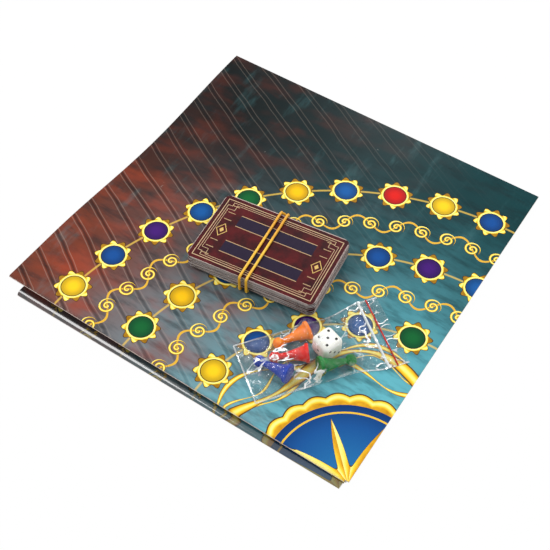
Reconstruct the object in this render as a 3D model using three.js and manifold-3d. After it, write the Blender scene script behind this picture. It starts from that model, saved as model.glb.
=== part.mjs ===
// A quad-fold game board lying folded on a table, with its banded card deck and its
// bag of playing pieces on top. Millimetres, +Z up. The origin is the centre of the
// square that the folded board covers, on the underside of the base panel.

import * as THREE from "three";
import { RoundedBoxGeometry } from "three/addons/geometries/RoundedBoxGeometry.js";
import { mergeVertices } from "three/addons/utils/BufferGeometryUtils.js";
import Module from "manifold-3d";

const wasm = await Module();
wasm.setup();

// Board
const PANEL_SIDE = 250;
const PRINT_T = 0.15;
const CORE_T = 0.55;
const LINER_T = 0.15;
const GLUE_GAP = 0.04;
const FOLD_GAP = 0.3;
const EDGE_GAP = 0.05;
const LOWER_PAIR_SHORT = 8;
const FOLD_RECESS = 1.4;
const SLIT_GAP = 0.4;
const ROLL_BULGE = 4;
const ROLL_LIFT = 0.05;
const CREASE_T = 0.6;
const LOWER_TILT_DEG = 0.75;
const UPPER_TILT_DEG = 2.05;
const SAG_DEPTH = 5.5;
const SAG_REACH = 75;
const SAG_START = 40;

// Card deck, placed from the front corner of the top panel
const CARD_LENGTH = 88;
const CARD_WIDTH = 56;
const CARD_CORNER_R = 4;
const CARD_T = 0.36;
const CARD_GAP = 0.05;
const LOWER_CARDS = 12;
const UPPER_CARDS = 14;
const DECK_X = -121.2;
const DECK_Y = 102.2;
const DECK_TURN_DEG = 7;
const PACKET_FAN_DEG = 0.8;
const CARD_SHIFT = 0.45;
const SHIFT_TURN_X = 2.4;
const SHIFT_TURN_Y = 1.7;
const REST_GAP = 0.3;

// Rubber band, wound twice round the deck
const BAND_D = 1.7;
const BAND_X = -3;
const BAND_PITCH = 4.7;
const BAND_CORNER_R = 1.9;
const BAND_CLEAR = 0.35;
const BAND_CROSS_GAP = 0.8;

// Bag, placed from the front corner of the top panel
const BAG_X = -86.4;
const BAG_Y = 24.3;
const BAG_TURN_DEG = 53.5;
const BAG_LENGTH = 96;
const BAG_HALF_WIDTH = 21;
const MOUTH_HALF_WIDTH = 25;
const FILM_T = 0.15;
const FILM_GAP = 0.15;
const FLARE_START = 60.5;
const FILM_CLEAR = 0.6;
const FILM_COLUMNS = 40;
const FILM_ROWS = 24;
const FILM_PASSES = 90;
const BULGE_END_FROM_ZIP = 4;
const ZIP_FROM_MOUTH = 13;
const ZIP_WIDTH = 2.2;
const UPPER_RIB_SHARE = 0.7;
const ZIP_RIB_T = 0.4;
const ZIP_LAND = 5;
const ZIP_LAND_FALL = 4;
const RED_LINE_FROM_MOUTH = 7.6;
const RED_LINE_WIDTH = 1.2;
const RED_LINE_T = 0.2;

// Die and pawns
const DIE_SIDE = 14;
const DIE_ROUND = 2.8;
const PIP_R = 0.9;
const PIP_DEPTH = 0.4;
const PIP_SPREAD = 3.6;
const PIP_FLOOR_SHARE = 0.6;
const DIE_X = 52;
const DIE_Y = -1;
const DIE_TURN_DEG = -71.9;
const DIE_PLAY = 6;
const PAWN_LENGTH = 24;
const PAWN_BASE_R = 6;
const PAWN_RIM_T = 2;
const PAWN_SHOULDER = 1;
const PAWN_SHOULDER_RISE = 0.8;
const PAWN_FLARE = 1.1;
const PAWN_NECK_R = 1.9;
const PAWN_HEAD_R = 3.6;
const PAWNS = [
  { name: "pawn_orange", colour: 0xfa820a, x: 46, y: 12.6, heading: 184, play: 2 },
  { name: "pawn_red", colour: 0xeb3223, x: 40, y: -2.5, heading: 165, play: 1 },
  { name: "pawn_blue", colour: 0x1e50be, x: 24, y: -12.3, heading: 130, play: 1 },
  { name: "pawn_green", colour: 0x0f7832, x: 42, y: -12.9, heading: -3, play: -0.8 },
];

const PANEL_T = PRINT_T + CORE_T + LINER_T + 2 * GLUE_GAP;
const PAIR_T = 2 * PANEL_T + FOLD_GAP;
const FOLD_R = PAIR_T / 2;
const HALF = PANEL_SIDE / 2;
const FOLD_TIP_X = HALF - FOLD_RECESS;
const LEVEL = PANEL_T + FOLD_GAP;
const LOWER_TILT = THREE.MathUtils.degToRad(LOWER_TILT_DEG);
const UPPER_TILT = THREE.MathUtils.degToRad(UPPER_TILT_DEG);

const board = new THREE.Group();

const finish = (color, roughness) => new THREE.MeshStandardMaterial({ color, roughness, metalness: 0 });

const PRINT = finish(0x2f5f66, 0.25);
const CORE = finish(0xb9ab95, 0.9);
const LINER = finish(0xe9e6de, 0.7);
const CARD_BACK = finish(0x5e1f24, 0.35);
const CARD_STOCK = finish(0xdedad2, 0.6);
const RUBBER = finish(0xebb932, 0.55);
const FILM = finish(0xe8eef0, 0.12);
const RIB = finish(0xf2f4f2, 0.3);
const RED = finish(0xb4281e, 0.4);
const IVORY = finish(0xf5f2e8, 0.3);

function place(parent, name, geometry, material) {
  const mesh = new THREE.Mesh(geometry, material);
  mesh.name = name;
  parent.add(mesh);
  return mesh;
}

// A closed sheet: a grid of unit coordinates u, v from 0 to 1 is carried to a lower face (w = 0)
// and an upper face (w = 1), cut into triangles alike, with walls round the rim.
function formed(nu, nv, toPoint) {
  const grid = new THREE.PlaneGeometry(1, 1, nu, nv);
  const at = grid.attributes.position;
  const positions = [];
  for (const w of [0, 1]) {
    for (let i = 0; i < at.count; i += 1) {
      positions.push(...toPoint(at.getX(i) + 0.5, at.getY(i) + 0.5, w).toArray());
    }
  }
  const faces = grid.index.array;
  const triangles = [];
  for (let i = 0; i < faces.length; i += 3) {
    const [a, b, c] = faces.slice(i, i + 3);
    triangles.push(a, c, b, a + at.count, b + at.count, c + at.count);
  }
  const row = nu + 1;
  const rim = [];
  for (let i = 0; i < nu; i += 1) rim.push(i);
  for (let j = 0; j < nv; j += 1) rim.push(nu + j * row);
  for (let i = nu; i > 0; i -= 1) rim.push(nv * row + i);
  for (let j = nv; j > 0; j -= 1) rim.push(j * row);
  rim.forEach((a, i) => {
    const b = rim[(i + 1) % rim.length];
    triangles.push(a, b + at.count, b, a, a + at.count, b + at.count);
  });
  const geometry = new THREE.BufferGeometry();
  geometry.setAttribute("position", new THREE.Float32BufferAttribute(positions, 3));
  geometry.setIndex(triangles);
  geometry.computeVertexNormals();
  return geometry;
}

const smooth = (from, to, value) => THREE.MathUtils.smoothstep(value, from, to);

// The sheet layers of one panel, from the bottom up.
function panelLayers(printUp) {
  const order = printUp ? ["liner", "core", "print"] : ["print", "core", "liner"];
  const thickness = { print: PRINT_T, core: CORE_T, liner: LINER_T };
  const material = { print: PRINT, core: CORE, liner: LINER };
  let z = 0;
  return order.map((layer) => {
    const sheet = { layer, z, t: thickness[layer], material: material[layer] };
    z += thickness[layer] + GLUE_GAP;
    return sheet;
  });
}

function flatPanel(parent, name, printUp, box) {
  for (const { layer, z, t, material } of panelLayers(printUp)) {
    const geometry = new THREE.BoxGeometry(box.x1 - box.x0, box.y1 - box.y0, t);
    const mesh = place(parent, `${name}_${layer}`, geometry, material);
    mesh.position.set((box.x0 + box.x1) / 2, (box.y0 + box.y1) / 2, z + t / 2);
  }
}

// How far the left edge of the upper pair hangs below its plane.
function sag(fromLeft, fromFront) {
  if (fromLeft >= SAG_REACH || fromFront <= SAG_START) return 0;
  const across = Math.cos((Math.PI / 2) * (fromLeft / SAG_REACH)) ** 2;
  const along = Math.sin(Math.PI * ((fromFront - SAG_START) / (PANEL_SIDE - SAG_START))) ** 2;
  return SAG_DEPTH * across * along;
}

function saggedPanel(parent, name, printUp, box, level) {
  const columns = 8;
  const rows = 12;
  const width = box.x1 - box.x0;
  const bendEnd = (columns - 1) / columns;
  for (const { layer, z, t, material } of panelLayers(printUp)) {
    const geometry = formed(columns, rows, (u, v, w) => {
      const fromLeft = u <= bendEnd ? (u / bendEnd) * SAG_REACH : width;
      const y = THREE.MathUtils.lerp(box.y0, box.y1, v);
      const drop = sag(fromLeft, y + HALF);
      return new THREE.Vector3(box.x0 + fromLeft, y, level + z + w * t - drop);
    });
    place(parent, `${name}_${layer}`, geometry, material);
  }
}

// A half-round strip of bent board: its tip points along -Y and its ends meet the two panels.
function tightCrease(length) {
  const outline = new THREE.Shape();
  outline.absarc(0, 0, FOLD_R, Math.PI / 2, (3 * Math.PI) / 2, false);
  outline.absarc(0, 0, FOLD_R - CREASE_T, (3 * Math.PI) / 2, Math.PI / 2, true);
  outline.closePath();
  return new THREE.ExtrudeGeometry(outline, { depth: length, bevelEnabled: false, curveSegments: 8 });
}

function makeBase() {
  const right = FOLD_TIP_X - FOLD_RECESS - SLIT_GAP;
  const left = LOWER_PAIR_SHORT - HALF;
  flatPanel(board, "base_panel", false, { x0: left, x1: right, y0: -HALF, y1: HALF });

  const topAt = (x) => LEVEL + PANEL_T + (FOLD_TIP_X - x) * Math.sin(LOWER_TILT);
  const roll = formed(6, 10, (u, v, w) => {
    const x = THREE.MathUtils.lerp(left, right, u);
    const angle = Math.PI * (v - 0.5);
    const inward = (1 - w) * CREASE_T;
    const middle = (topAt(x) + ROLL_LIFT) / 2;
    const rise = middle - ROLL_LIFT - inward;
    const y = -HALF - EDGE_GAP - (ROLL_BULGE - inward) * Math.cos(angle);
    return new THREE.Vector3(x, y, middle + rise * Math.sin(angle));
  });
  place(board, "lower_front_crease", roll, PRINT);
}

function makeThird() {
  const plane = new THREE.Group();
  plane.position.set(FOLD_TIP_X, 0, LEVEL);
  plane.rotation.y = LOWER_TILT;
  board.add(plane);
  const left = LOWER_PAIR_SHORT - HALF - FOLD_TIP_X;
  flatPanel(plane, "third_panel", true, { x0: left, x1: -FOLD_R - EDGE_GAP, y0: -HALF, y1: HALF });
}

// The plane of the upper pair, hinged at the tip of the right-hand fold.
function makeUpperPlane() {
  const plane = new THREE.Group();
  plane.position.set(FOLD_TIP_X, 0, 2 * LEVEL);
  plane.rotation.y = UPPER_TILT;
  board.add(plane);
  return plane;
}

function makeUpperPair(plane) {
  const left = FOLD_RECESS - PANEL_SIDE;
  const front = FOLD_R - HALF;
  const foldEdge = -FOLD_R - EDGE_GAP;
  saggedPanel(plane, "second_panel", false, { x0: left, x1: foldEdge, y0: front, y1: HALF }, 0);
  saggedPanel(plane, "top_panel", true, { x0: left, x1: FOLD_RECESS, y0: front, y1: HALF }, LEVEL);

  const frontCrease = place(plane, "upper_front_crease", tightCrease(foldEdge - left), PRINT);
  frontCrease.rotation.set(Math.PI / 2, Math.PI / 2, 0);
  frontCrease.position.set(left, front - EDGE_GAP, FOLD_R);

  const rightCrease = place(board, "right_crease", tightCrease(HALF - front), LINER);
  rightCrease.rotation.set(-Math.PI / 2, Math.PI, 0);
  rightCrease.position.set(FOLD_TIP_X - FOLD_R, HALF, 2 * LEVEL - FOLD_GAP / 2);
}

function cardShape() {
  const x = CARD_LENGTH / 2 - CARD_CORNER_R;
  const y = CARD_WIDTH / 2 - CARD_CORNER_R;
  const shape = new THREE.Shape();
  shape.absarc(x, y, CARD_CORNER_R, 0, Math.PI / 2, false);
  shape.absarc(-x, y, CARD_CORNER_R, Math.PI / 2, Math.PI, false);
  shape.absarc(-x, -y, CARD_CORNER_R, Math.PI, (3 * Math.PI) / 2, false);
  shape.absarc(x, -y, CARD_CORNER_R, (3 * Math.PI) / 2, 2 * Math.PI, false);
  return shape;
}

const CARD_PITCH = CARD_T + CARD_GAP;
const DECK_FLOOR = REST_GAP + BAND_D + BAND_CLEAR;
const PACKET_Z = DECK_FLOOR + LOWER_CARDS * CARD_PITCH;
const FAN = THREE.MathUtils.degToRad(PACKET_FAN_DEG);
const PACKET_TOP = UPPER_CARDS * CARD_PITCH - CARD_GAP;

function makeDeck(deck) {
  const upper = new THREE.Group();
  upper.position.set(-CARD_LENGTH / 2, 0, PACKET_Z);
  upper.rotation.y = -FAN;
  deck.add(upper);
  const shape = cardShape();
  const total = LOWER_CARDS + UPPER_CARDS;
  for (let i = 0; i < total; i += 1) {
    const isUpper = i >= LOWER_CARDS;
    const geometry = new THREE.ExtrudeGeometry(shape, { depth: CARD_T, bevelEnabled: false, curveSegments: 4 });
    const name = `card_${String(i + 1).padStart(2, "0")}`;
    const card = place(isUpper ? upper : deck, name, geometry, i === total - 1 ? CARD_BACK : CARD_STOCK);
    const shift = i === total - 1 ? 0 : CARD_SHIFT * Math.sin(SHIFT_TURN_X * i);
    const x = isUpper ? CARD_LENGTH / 2 : 0;
    const z = isUpper ? (i - LOWER_CARDS) * CARD_PITCH : DECK_FLOOR + i * CARD_PITCH;
    card.position.set(x + shift, CARD_SHIFT * Math.sin(SHIFT_TURN_Y * i), z);
  }
}

// One unbroken loop of rubber that goes round the deck twice and crosses itself on the far side.
function makeBand(deck) {
  const radius = BAND_D / 2;
  const reach = BAND_CLEAR + radius;
  const fanned = (BAND_X + BAND_PITCH / 2 + radius + CARD_LENGTH / 2) * Math.sin(FAN);
  const bottom = DECK_FLOOR - reach;
  const top = PACKET_Z + PACKET_TOP + fanned + reach;
  const side = CARD_WIDTH / 2 + CARD_SHIFT + reach;
  const corner = (y, z, from) =>
    [0, 0.5, 1].map((step) => {
      const angle = from + (step * Math.PI) / 2;
      return [y + BAND_CORNER_R * Math.cos(angle), z + BAND_CORNER_R * Math.sin(angle)];
    });
  const run = (from, to, count) =>
    Array.from({ length: count }, (_, i) => {
      const step = (i + 1) / (count + 1);
      return [THREE.MathUtils.lerp(from[0], to[0], step), THREE.MathUtils.lerp(from[1], to[1], step)];
    });
  const inY = side - BAND_CORNER_R;
  const lowZ = bottom + BAND_CORNER_R;
  const highZ = top - BAND_CORNER_R;
  const wallFrom = [side, lowZ];
  const wallTo = [side, highZ];
  const wall = run(wallFrom, wallTo, 5);
  const around = [
    ...corner(inY, highZ, 0),
    ...run([inY, top], [-inY, top], 4),
    ...corner(-inY, highZ, Math.PI / 2),
    ...run([-side, highZ], [-side, lowZ], 2),
    ...corner(-inY, lowZ, Math.PI),
    ...run([-inY, bottom], [inY, bottom], 4),
    ...corner(inY, lowZ, (3 * Math.PI) / 2),
  ];
  const points = [];
  for (const turn of [0, 1]) {
    const from = BAND_X + (turn ? 1 : -1) * (BAND_PITCH / 2);
    const to = 2 * BAND_X - from;
    for (const [y, z] of around) points.push(new THREE.Vector3(from, y, z));
    wall.forEach(([y, z], i) => {
      const step = (i + 1) / (wall.length + 1);
      const out = turn ? (BAND_D + BAND_CROSS_GAP) * Math.sin(Math.PI * step) : 0;
      points.push(new THREE.Vector3(THREE.MathUtils.lerp(from, to, smooth(0, 1, step)), y + out, z));
    });
  }
  const path = new THREE.CatmullRomCurve3(points, true, "centripetal");
  const steps = 2 * points.length;
  const centres = path.getSpacedPoints(steps).slice(0, steps);
  let least = Infinity;
  for (let i = 0; i < steps; i += 1) {
    for (let j = i + 1; j < steps; j += 1) {
      const apart = Math.min(j - i, steps - j + i);
      if (apart > steps / 8) least = Math.min(least, centres[i].distanceTo(centres[j]) - BAND_D);
    }
  }
  console.log(`rubber_band: least gap to itself ${least.toFixed(2)} mm`);
  place(deck, "rubber_band", new THREE.TubeGeometry(path, steps, radius, 6, true), RUBBER);
}

const ZIP_X = BAG_LENGTH - ZIP_FROM_MOUTH;
const RED_LINE_X = BAG_LENGTH - RED_LINE_FROM_MOUTH;
const BULGE_END = ZIP_X - BULGE_END_FROM_ZIP;
const BACK_FILM_Z = FILM_GAP;
const CONTENT_Z = BACK_FILM_Z + FILM_T + REST_GAP;
const RIB_LOW_Z = BACK_FILM_Z + FILM_T + EDGE_GAP;
const RIB_HIGH_Z = RIB_LOW_Z + ZIP_RIB_T + EDGE_GAP;
const ZIP_RIDGE = RIB_HIGH_Z + ZIP_RIB_T + EDGE_GAP;

const bagHalfWidth = (x) =>
  THREE.MathUtils.lerp(BAG_HALF_WIDTH, MOUTH_HALF_WIDTH, smooth(FLARE_START, ZIP_X, x));

// The underside of the front film where nothing lies under it but the zip.
function flatFilmZ(x) {
  const flat = BACK_FILM_Z + FILM_T + FILM_GAP;
  const overZip = 1 - smooth(ZIP_LAND, ZIP_LAND + ZIP_LAND_FALL, Math.abs(x - ZIP_X));
  return flat + (ZIP_RIDGE - flat) * overZip;
}

// How high a pawn on its side reaches, with its waist spanned over.
function pawnTop(along, across) {
  const r = THREE.MathUtils.lerp(PAWN_BASE_R, PAWN_HEAD_R, Math.min(along / (PAWN_LENGTH - PAWN_HEAD_R), 1));
  if (along < -PAWN_SHOULDER || along > PAWN_LENGTH || Math.abs(across) > r) return 0;
  return r + Math.sqrt(r * r - across * across);
}

// How high the die and the pawns reach at a place in the bag, wherever their play takes them.
function contentTop(x, y) {
  const local = (ox, oy, turnDeg) =>
    new THREE.Vector2(x - ox, y - oy).rotateAround(new THREE.Vector2(), -THREE.MathUtils.degToRad(turnDeg));
  let top = 0;
  for (const share of [0, 0.5, 1]) {
    const onDie = local(DIE_X + share * DIE_PLAY, DIE_Y, DIE_TURN_DEG);
    if (Math.max(Math.abs(onDie.x), Math.abs(onDie.y)) <= DIE_SIDE / 2) top = Math.max(top, DIE_SIDE);
    for (const pawn of PAWNS) {
      const onPawn = local(pawn.x + share * pawn.play, pawn.y, pawn.heading);
      top = Math.max(top, pawnTop(onPawn.x, onPawn.y));
    }
  }
  return top;
}

// The film drawn over the pieces: each point of its grid clears what lies within one step of it,
// then the grid is evened out between the pieces and its flat rim.
function drapedFilm() {
  const stepX = BAG_LENGTH / FILM_COLUMNS;
  const nearby = [-1, -0.5, 0, 0.5, 1];
  const isRim = (i, j) => i === 0 || j === 0 || j === FILM_ROWS || i * stepX > BULGE_END;
  const floor = Array.from({ length: FILM_COLUMNS + 1 }, (_, i) =>
    Array.from({ length: FILM_ROWS + 1 }, (__, j) => {
      const x = i * stepX;
      const stepY = (2 * bagHalfWidth(x)) / FILM_ROWS;
      const y = (j - FILM_ROWS / 2) * stepY;
      if (isRim(i, j)) return flatFilmZ(x);
      const tops = nearby.flatMap((a) => nearby.map((b) => contentTop(x + a * stepX, y + b * stepY)));
      const top = Math.max(...tops);
      return top > 0 ? CONTENT_Z + top + FILM_CLEAR : flatFilmZ(x);
    }),
  );
  const film = floor.map((column) => [...column]);
  for (let pass = 0; pass < FILM_PASSES; pass += 1) {
    for (let i = 1; i < FILM_COLUMNS; i += 1) {
      for (let j = 1; j < FILM_ROWS; j += 1) {
        if (isRim(i, j)) continue;
        const mean = (film[i - 1][j] + film[i + 1][j] + film[i][j - 1] + film[i][j + 1]) / 4;
        film[i][j] = Math.max(mean, floor[i][j]);
      }
    }
  }
  return film;
}

function makeBag(bag) {
  const sheet = (nu, nv, z) =>
    formed(nu, nv, (u, v, w) => {
      const x = u * BAG_LENGTH;
      return new THREE.Vector3(x, (2 * v - 1) * bagHalfWidth(x), z(u, v) + w * FILM_T);
    });
  const film = drapedFilm();
  place(bag, "bag_back_film", sheet(12, 1, () => BACK_FILM_Z), FILM);
  const draped = sheet(FILM_COLUMNS, FILM_ROWS, (u, v) => film[Math.round(u * FILM_COLUMNS)][Math.round(v * FILM_ROWS)]);
  place(bag, "bag_front_film", draped, FILM);

  const strip = (name, x, width, z, t, material) => {
    const half = bagHalfWidth(x - width) - EDGE_GAP;
    const mesh = place(bag, name, new THREE.BoxGeometry(width, 2 * half, t), material);
    mesh.position.set(x, 0, z + t / 2);
  };
  strip("zip_rib_lower", ZIP_X, ZIP_WIDTH, RIB_LOW_Z, ZIP_RIB_T, RIB);
  strip("zip_rib_upper", ZIP_X, ZIP_WIDTH * UPPER_RIB_SHARE, RIB_HIGH_Z, ZIP_RIB_T, RIB);
  const lineZ = Math.max(flatFilmZ(RED_LINE_X - RED_LINE_WIDTH), flatFilmZ(RED_LINE_X));
  strip("zip_red_line", RED_LINE_X, RED_LINE_WIDTH, lineZ + FILM_T + EDGE_GAP, RED_LINE_T, RED);
}

function solidOf(geometry) {
  const bare = geometry.clone();
  bare.deleteAttribute("normal");
  bare.deleteAttribute("uv");
  const merged = mergeVertices(bare, 1e-4);
  return new wasm.Manifold(
    new wasm.Mesh({
      numProp: 3,
      vertProperties: new Float32Array(merged.attributes.position.array),
      triVerts: new Uint32Array(merged.index.array),
    }),
  );
}

function geometryOf(solid) {
  const mesh = solid.getMesh();
  const geometry = new THREE.BufferGeometry();
  geometry.setAttribute("position", new THREE.BufferAttribute(mesh.vertProperties, 3));
  geometry.setIndex(new THREE.BufferAttribute(mesh.triVerts, 1));
  geometry.computeVertexNormals();
  return geometry;
}

// The places of the pips on a face with this many, in steps of the pip spread.
function pipPlaces(count) {
  const places = count % 2 ? [[0, 0]] : [];
  if (count > 1) places.push([1, 1], [-1, -1]);
  if (count > 3) places.push([1, -1], [-1, 1]);
  if (count > 5) places.push([1, 0], [-1, 0]);
  return places;
}

function makeDie(bag) {
  let solid = solidOf(new RoundedBoxGeometry(DIE_SIDE, DIE_SIDE, DIE_SIDE, 3, DIE_ROUND));
  const faces = [
    { count: 5, turn: [0, 0, 0] },
    { count: 2, turn: [Math.PI, 0, 0] },
    { count: 1, turn: [Math.PI / 2, 0, 0] },
    { count: 6, turn: [-Math.PI / 2, 0, 0] },
    { count: 3, turn: [0, Math.PI / 2, 0] },
    { count: 4, turn: [0, -Math.PI / 2, 0] },
  ];
  for (const { count, turn } of faces) {
    for (const [a, b] of pipPlaces(count)) {
      const pip = new THREE.CylinderGeometry(PIP_R, PIP_R * PIP_FLOOR_SHARE, 2 * PIP_DEPTH, 8);
      pip.rotateX(Math.PI / 2);
      pip.translate(a * PIP_SPREAD, b * PIP_SPREAD, DIE_SIDE / 2);
      pip.applyMatrix4(new THREE.Matrix4().makeRotationFromEuler(new THREE.Euler(...turn)));
      solid = solid.subtract(solidOf(pip));
    }
  }
  const die = place(bag, "die", geometryOf(solid), IVORY);
  die.position.set(DIE_X, DIE_Y, CONTENT_Z + DIE_SIDE / 2);
  die.rotation.z = THREE.MathUtils.degToRad(DIE_TURN_DEG);
}

function pawnProfile() {
  const headZ = PAWN_LENGTH - PAWN_HEAD_R;
  const neckAngle = Math.asin(PAWN_NECK_R / PAWN_HEAD_R);
  const points = [
    new THREE.Vector2(0, 0),
    new THREE.Vector2(PAWN_BASE_R, 0),
    new THREE.Vector2(PAWN_BASE_R, PAWN_RIM_T),
    new THREE.Vector2(PAWN_BASE_R - PAWN_SHOULDER, PAWN_RIM_T + PAWN_SHOULDER_RISE),
    new THREE.Vector2(PAWN_NECK_R + PAWN_FLARE, PAWN_LENGTH / 2),
    new THREE.Vector2(PAWN_NECK_R, headZ - PAWN_HEAD_R * Math.cos(neckAngle)),
  ];
  const steps = 6;
  for (let i = 1; i <= steps; i += 1) {
    const angle = neckAngle + ((Math.PI - neckAngle) * i) / steps;
    const r = i === steps ? 0 : PAWN_HEAD_R * Math.sin(angle);
    points.push(new THREE.Vector2(r, headZ - PAWN_HEAD_R * Math.cos(angle)));
  }
  return points;
}

// Each pawn lies on its side, on the rim of its base and its head.
function makePawns(bag) {
  const profile = pawnProfile();
  const lean = Math.asin((PAWN_BASE_R - PAWN_HEAD_R) / (PAWN_LENGTH - PAWN_HEAD_R));
  for (const { name, colour, x, y, heading } of PAWNS) {
    const lying = new THREE.LatheGeometry(profile, 16);
    lying.rotateZ(-Math.PI / 2);
    lying.rotateY(lean);
    const pawn = place(bag, name, lying, finish(colour, 0.35));
    pawn.rotation.z = THREE.MathUtils.degToRad(heading);
    pawn.position.set(x, y, CONTENT_Z + PAWN_BASE_R);
  }
}

makeBase();
makeThird();
const upperPlane = makeUpperPlane();
makeUpperPair(upperPlane);

// The front corner of the top panel's printed face, where the deck and the bag are placed from.
const corner = new THREE.Group();
corner.position.set(FOLD_RECESS, -HALF, PAIR_T);
upperPlane.add(corner);

const deckPlace = new THREE.Group();
deckPlace.position.set(DECK_X, DECK_Y, 0);
deckPlace.rotation.z = THREE.MathUtils.degToRad(DECK_TURN_DEG);
corner.add(deckPlace);
makeDeck(deckPlace);
makeBand(deckPlace);

const bagPlace = new THREE.Group();
bagPlace.position.set(BAG_X, BAG_Y, 0);
bagPlace.rotation.z = THREE.MathUtils.degToRad(BAG_TURN_DEG);
corner.add(bagPlace);
makeBag(bagPlace);
makeDie(bagPlace);
makePawns(bagPlace);

export default board;
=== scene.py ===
# %% [markdown]
# A folded game board lies on a table, with a banded deck of cards and a clear bag of playing pieces on it.
# The packed CAD model is the frame. Its own meshes could be painted as they are, but print, worn edges and
# crumpled film need finer shapes, so every piece is modelled again from the same sizes, in metres. Each one
# rides on a body of the frame, so it moves when a panel is unfolded or the deck is lifted.

# %% Load the frame
import math

import bmesh
import bpy
import numpy as np
from mathutils import Matrix, Vector
from mathutils.bvhtree import BVHTree


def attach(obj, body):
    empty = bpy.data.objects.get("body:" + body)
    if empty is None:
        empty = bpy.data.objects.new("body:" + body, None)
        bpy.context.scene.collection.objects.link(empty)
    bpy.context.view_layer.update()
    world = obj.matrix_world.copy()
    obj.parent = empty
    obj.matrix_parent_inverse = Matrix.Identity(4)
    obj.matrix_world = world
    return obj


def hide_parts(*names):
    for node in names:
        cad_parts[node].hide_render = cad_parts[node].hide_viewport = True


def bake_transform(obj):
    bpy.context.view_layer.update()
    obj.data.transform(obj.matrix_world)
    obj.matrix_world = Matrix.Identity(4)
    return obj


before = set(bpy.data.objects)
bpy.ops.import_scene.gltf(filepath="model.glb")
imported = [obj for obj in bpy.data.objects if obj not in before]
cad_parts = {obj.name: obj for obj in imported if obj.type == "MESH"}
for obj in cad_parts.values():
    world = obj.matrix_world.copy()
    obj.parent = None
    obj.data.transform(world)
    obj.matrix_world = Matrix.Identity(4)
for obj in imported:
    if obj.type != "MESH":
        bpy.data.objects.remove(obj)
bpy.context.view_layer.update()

MM = 0.001

# %% [markdown]
# The board's own sizes come first. The four panels are stacked like a napkin folded twice, and the fold has
# sprung open a little: the lower pair rises to the left by under one degree, the upper pair by two. Pieces
# could be modelled where they lie, but tilted coordinates are hard to read, so a matrix for each plane lets a
# piece be modelled flat and then carried to its place.

# %% Sizes and places
HALF = 125 * MM
PRINT_T, CORE_T, LINER_T, GLUE_GAP = 0.15 * MM, 0.55 * MM, 0.15 * MM, 0.04 * MM
FOLD_GAP, EDGE_GAP = 0.3 * MM, 0.05 * MM
PANEL_T = PRINT_T + CORE_T + LINER_T + 2 * GLUE_GAP
PAIR_T = 2 * PANEL_T + FOLD_GAP
FOLD_R = PAIR_T / 2
LEVEL = PANEL_T + FOLD_GAP
FOLD_RECESS = 1.4 * MM
FOLD_TIP_X = HALF - FOLD_RECESS
LOWER_SHORT = 8 * MM
SLIT_GAP = 0.4 * MM
ROLL_BULGE, ROLL_LIFT = 4 * MM, 0.05 * MM
CREASE_T = 0.6 * MM
SAG_DEPTH, SAG_REACH, SAG_START = 5.5 * MM, 75 * MM, 40 * MM
LOWER_TILT, UPPER_TILT = math.radians(0.75), math.radians(2.05)

DECK_TURN, BAG_TURN = math.radians(7), math.radians(53.5)
LOWER_PLANE = Matrix.Translation((FOLD_TIP_X, 0, LEVEL)) @ Matrix.Rotation(LOWER_TILT, 4, "Y")
UPPER_PLANE = Matrix.Translation((FOLD_TIP_X, 0, 2 * LEVEL)) @ Matrix.Rotation(UPPER_TILT, 4, "Y")
CORNER = UPPER_PLANE @ Matrix.Translation((FOLD_RECESS, -HALF, PAIR_T))
DECK = CORNER @ Matrix.Translation((-121.2 * MM, 102.2 * MM, 0)) @ Matrix.Rotation(DECK_TURN, 4, "Z")
BAG = CORNER @ Matrix.Translation((-86.4 * MM, 24.3 * MM, 0)) @ Matrix.Rotation(BAG_TURN, 4, "Z")
print("panel thickness %.2f mm, folded pair %.2f mm" % (PANEL_T / MM, PAIR_T / MM))

# %% [markdown]
# The camera stands in front of the board's front corner and looks down at it by about 53 degrees. It could be
# set by eye, but here it was solved from the four corners of the top panel, taken as a square, so that the
# same camera also measures what lies on the board. Standard is the view transform that shows a colour as it
# is written.

# %% Camera
IMAGE_SIDE = 550
FOCAL_PIXELS = 954
SENSOR = 36
camera = bpy.data.objects.new("camera", bpy.data.cameras.new("camera"))
camera.data.sensor_width = SENSOR
camera.data.lens = SENSOR * FOCAL_PIXELS / IMAGE_SIDE
camera.location = (0.22302, -0.32908, 0.49143)
camera.rotation_euler = [math.radians(a) for a in (37.074, 0.960, 33.717)]
bpy.context.scene.collection.objects.link(camera)
bpy.context.scene.camera = camera
bpy.context.scene.view_settings.view_transform = "Standard"
print("lens %.1f mm" % camera.data.lens)

# %% [markdown]
# The finishes are node trees. They could be wired by hand, but their maths reads best as plain arithmetic, so
# this small class holds one socket, and each operator adds the Math node it stands for. Every other node is
# added by one method, which sets the node up first and then fills or links its sockets.


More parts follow.
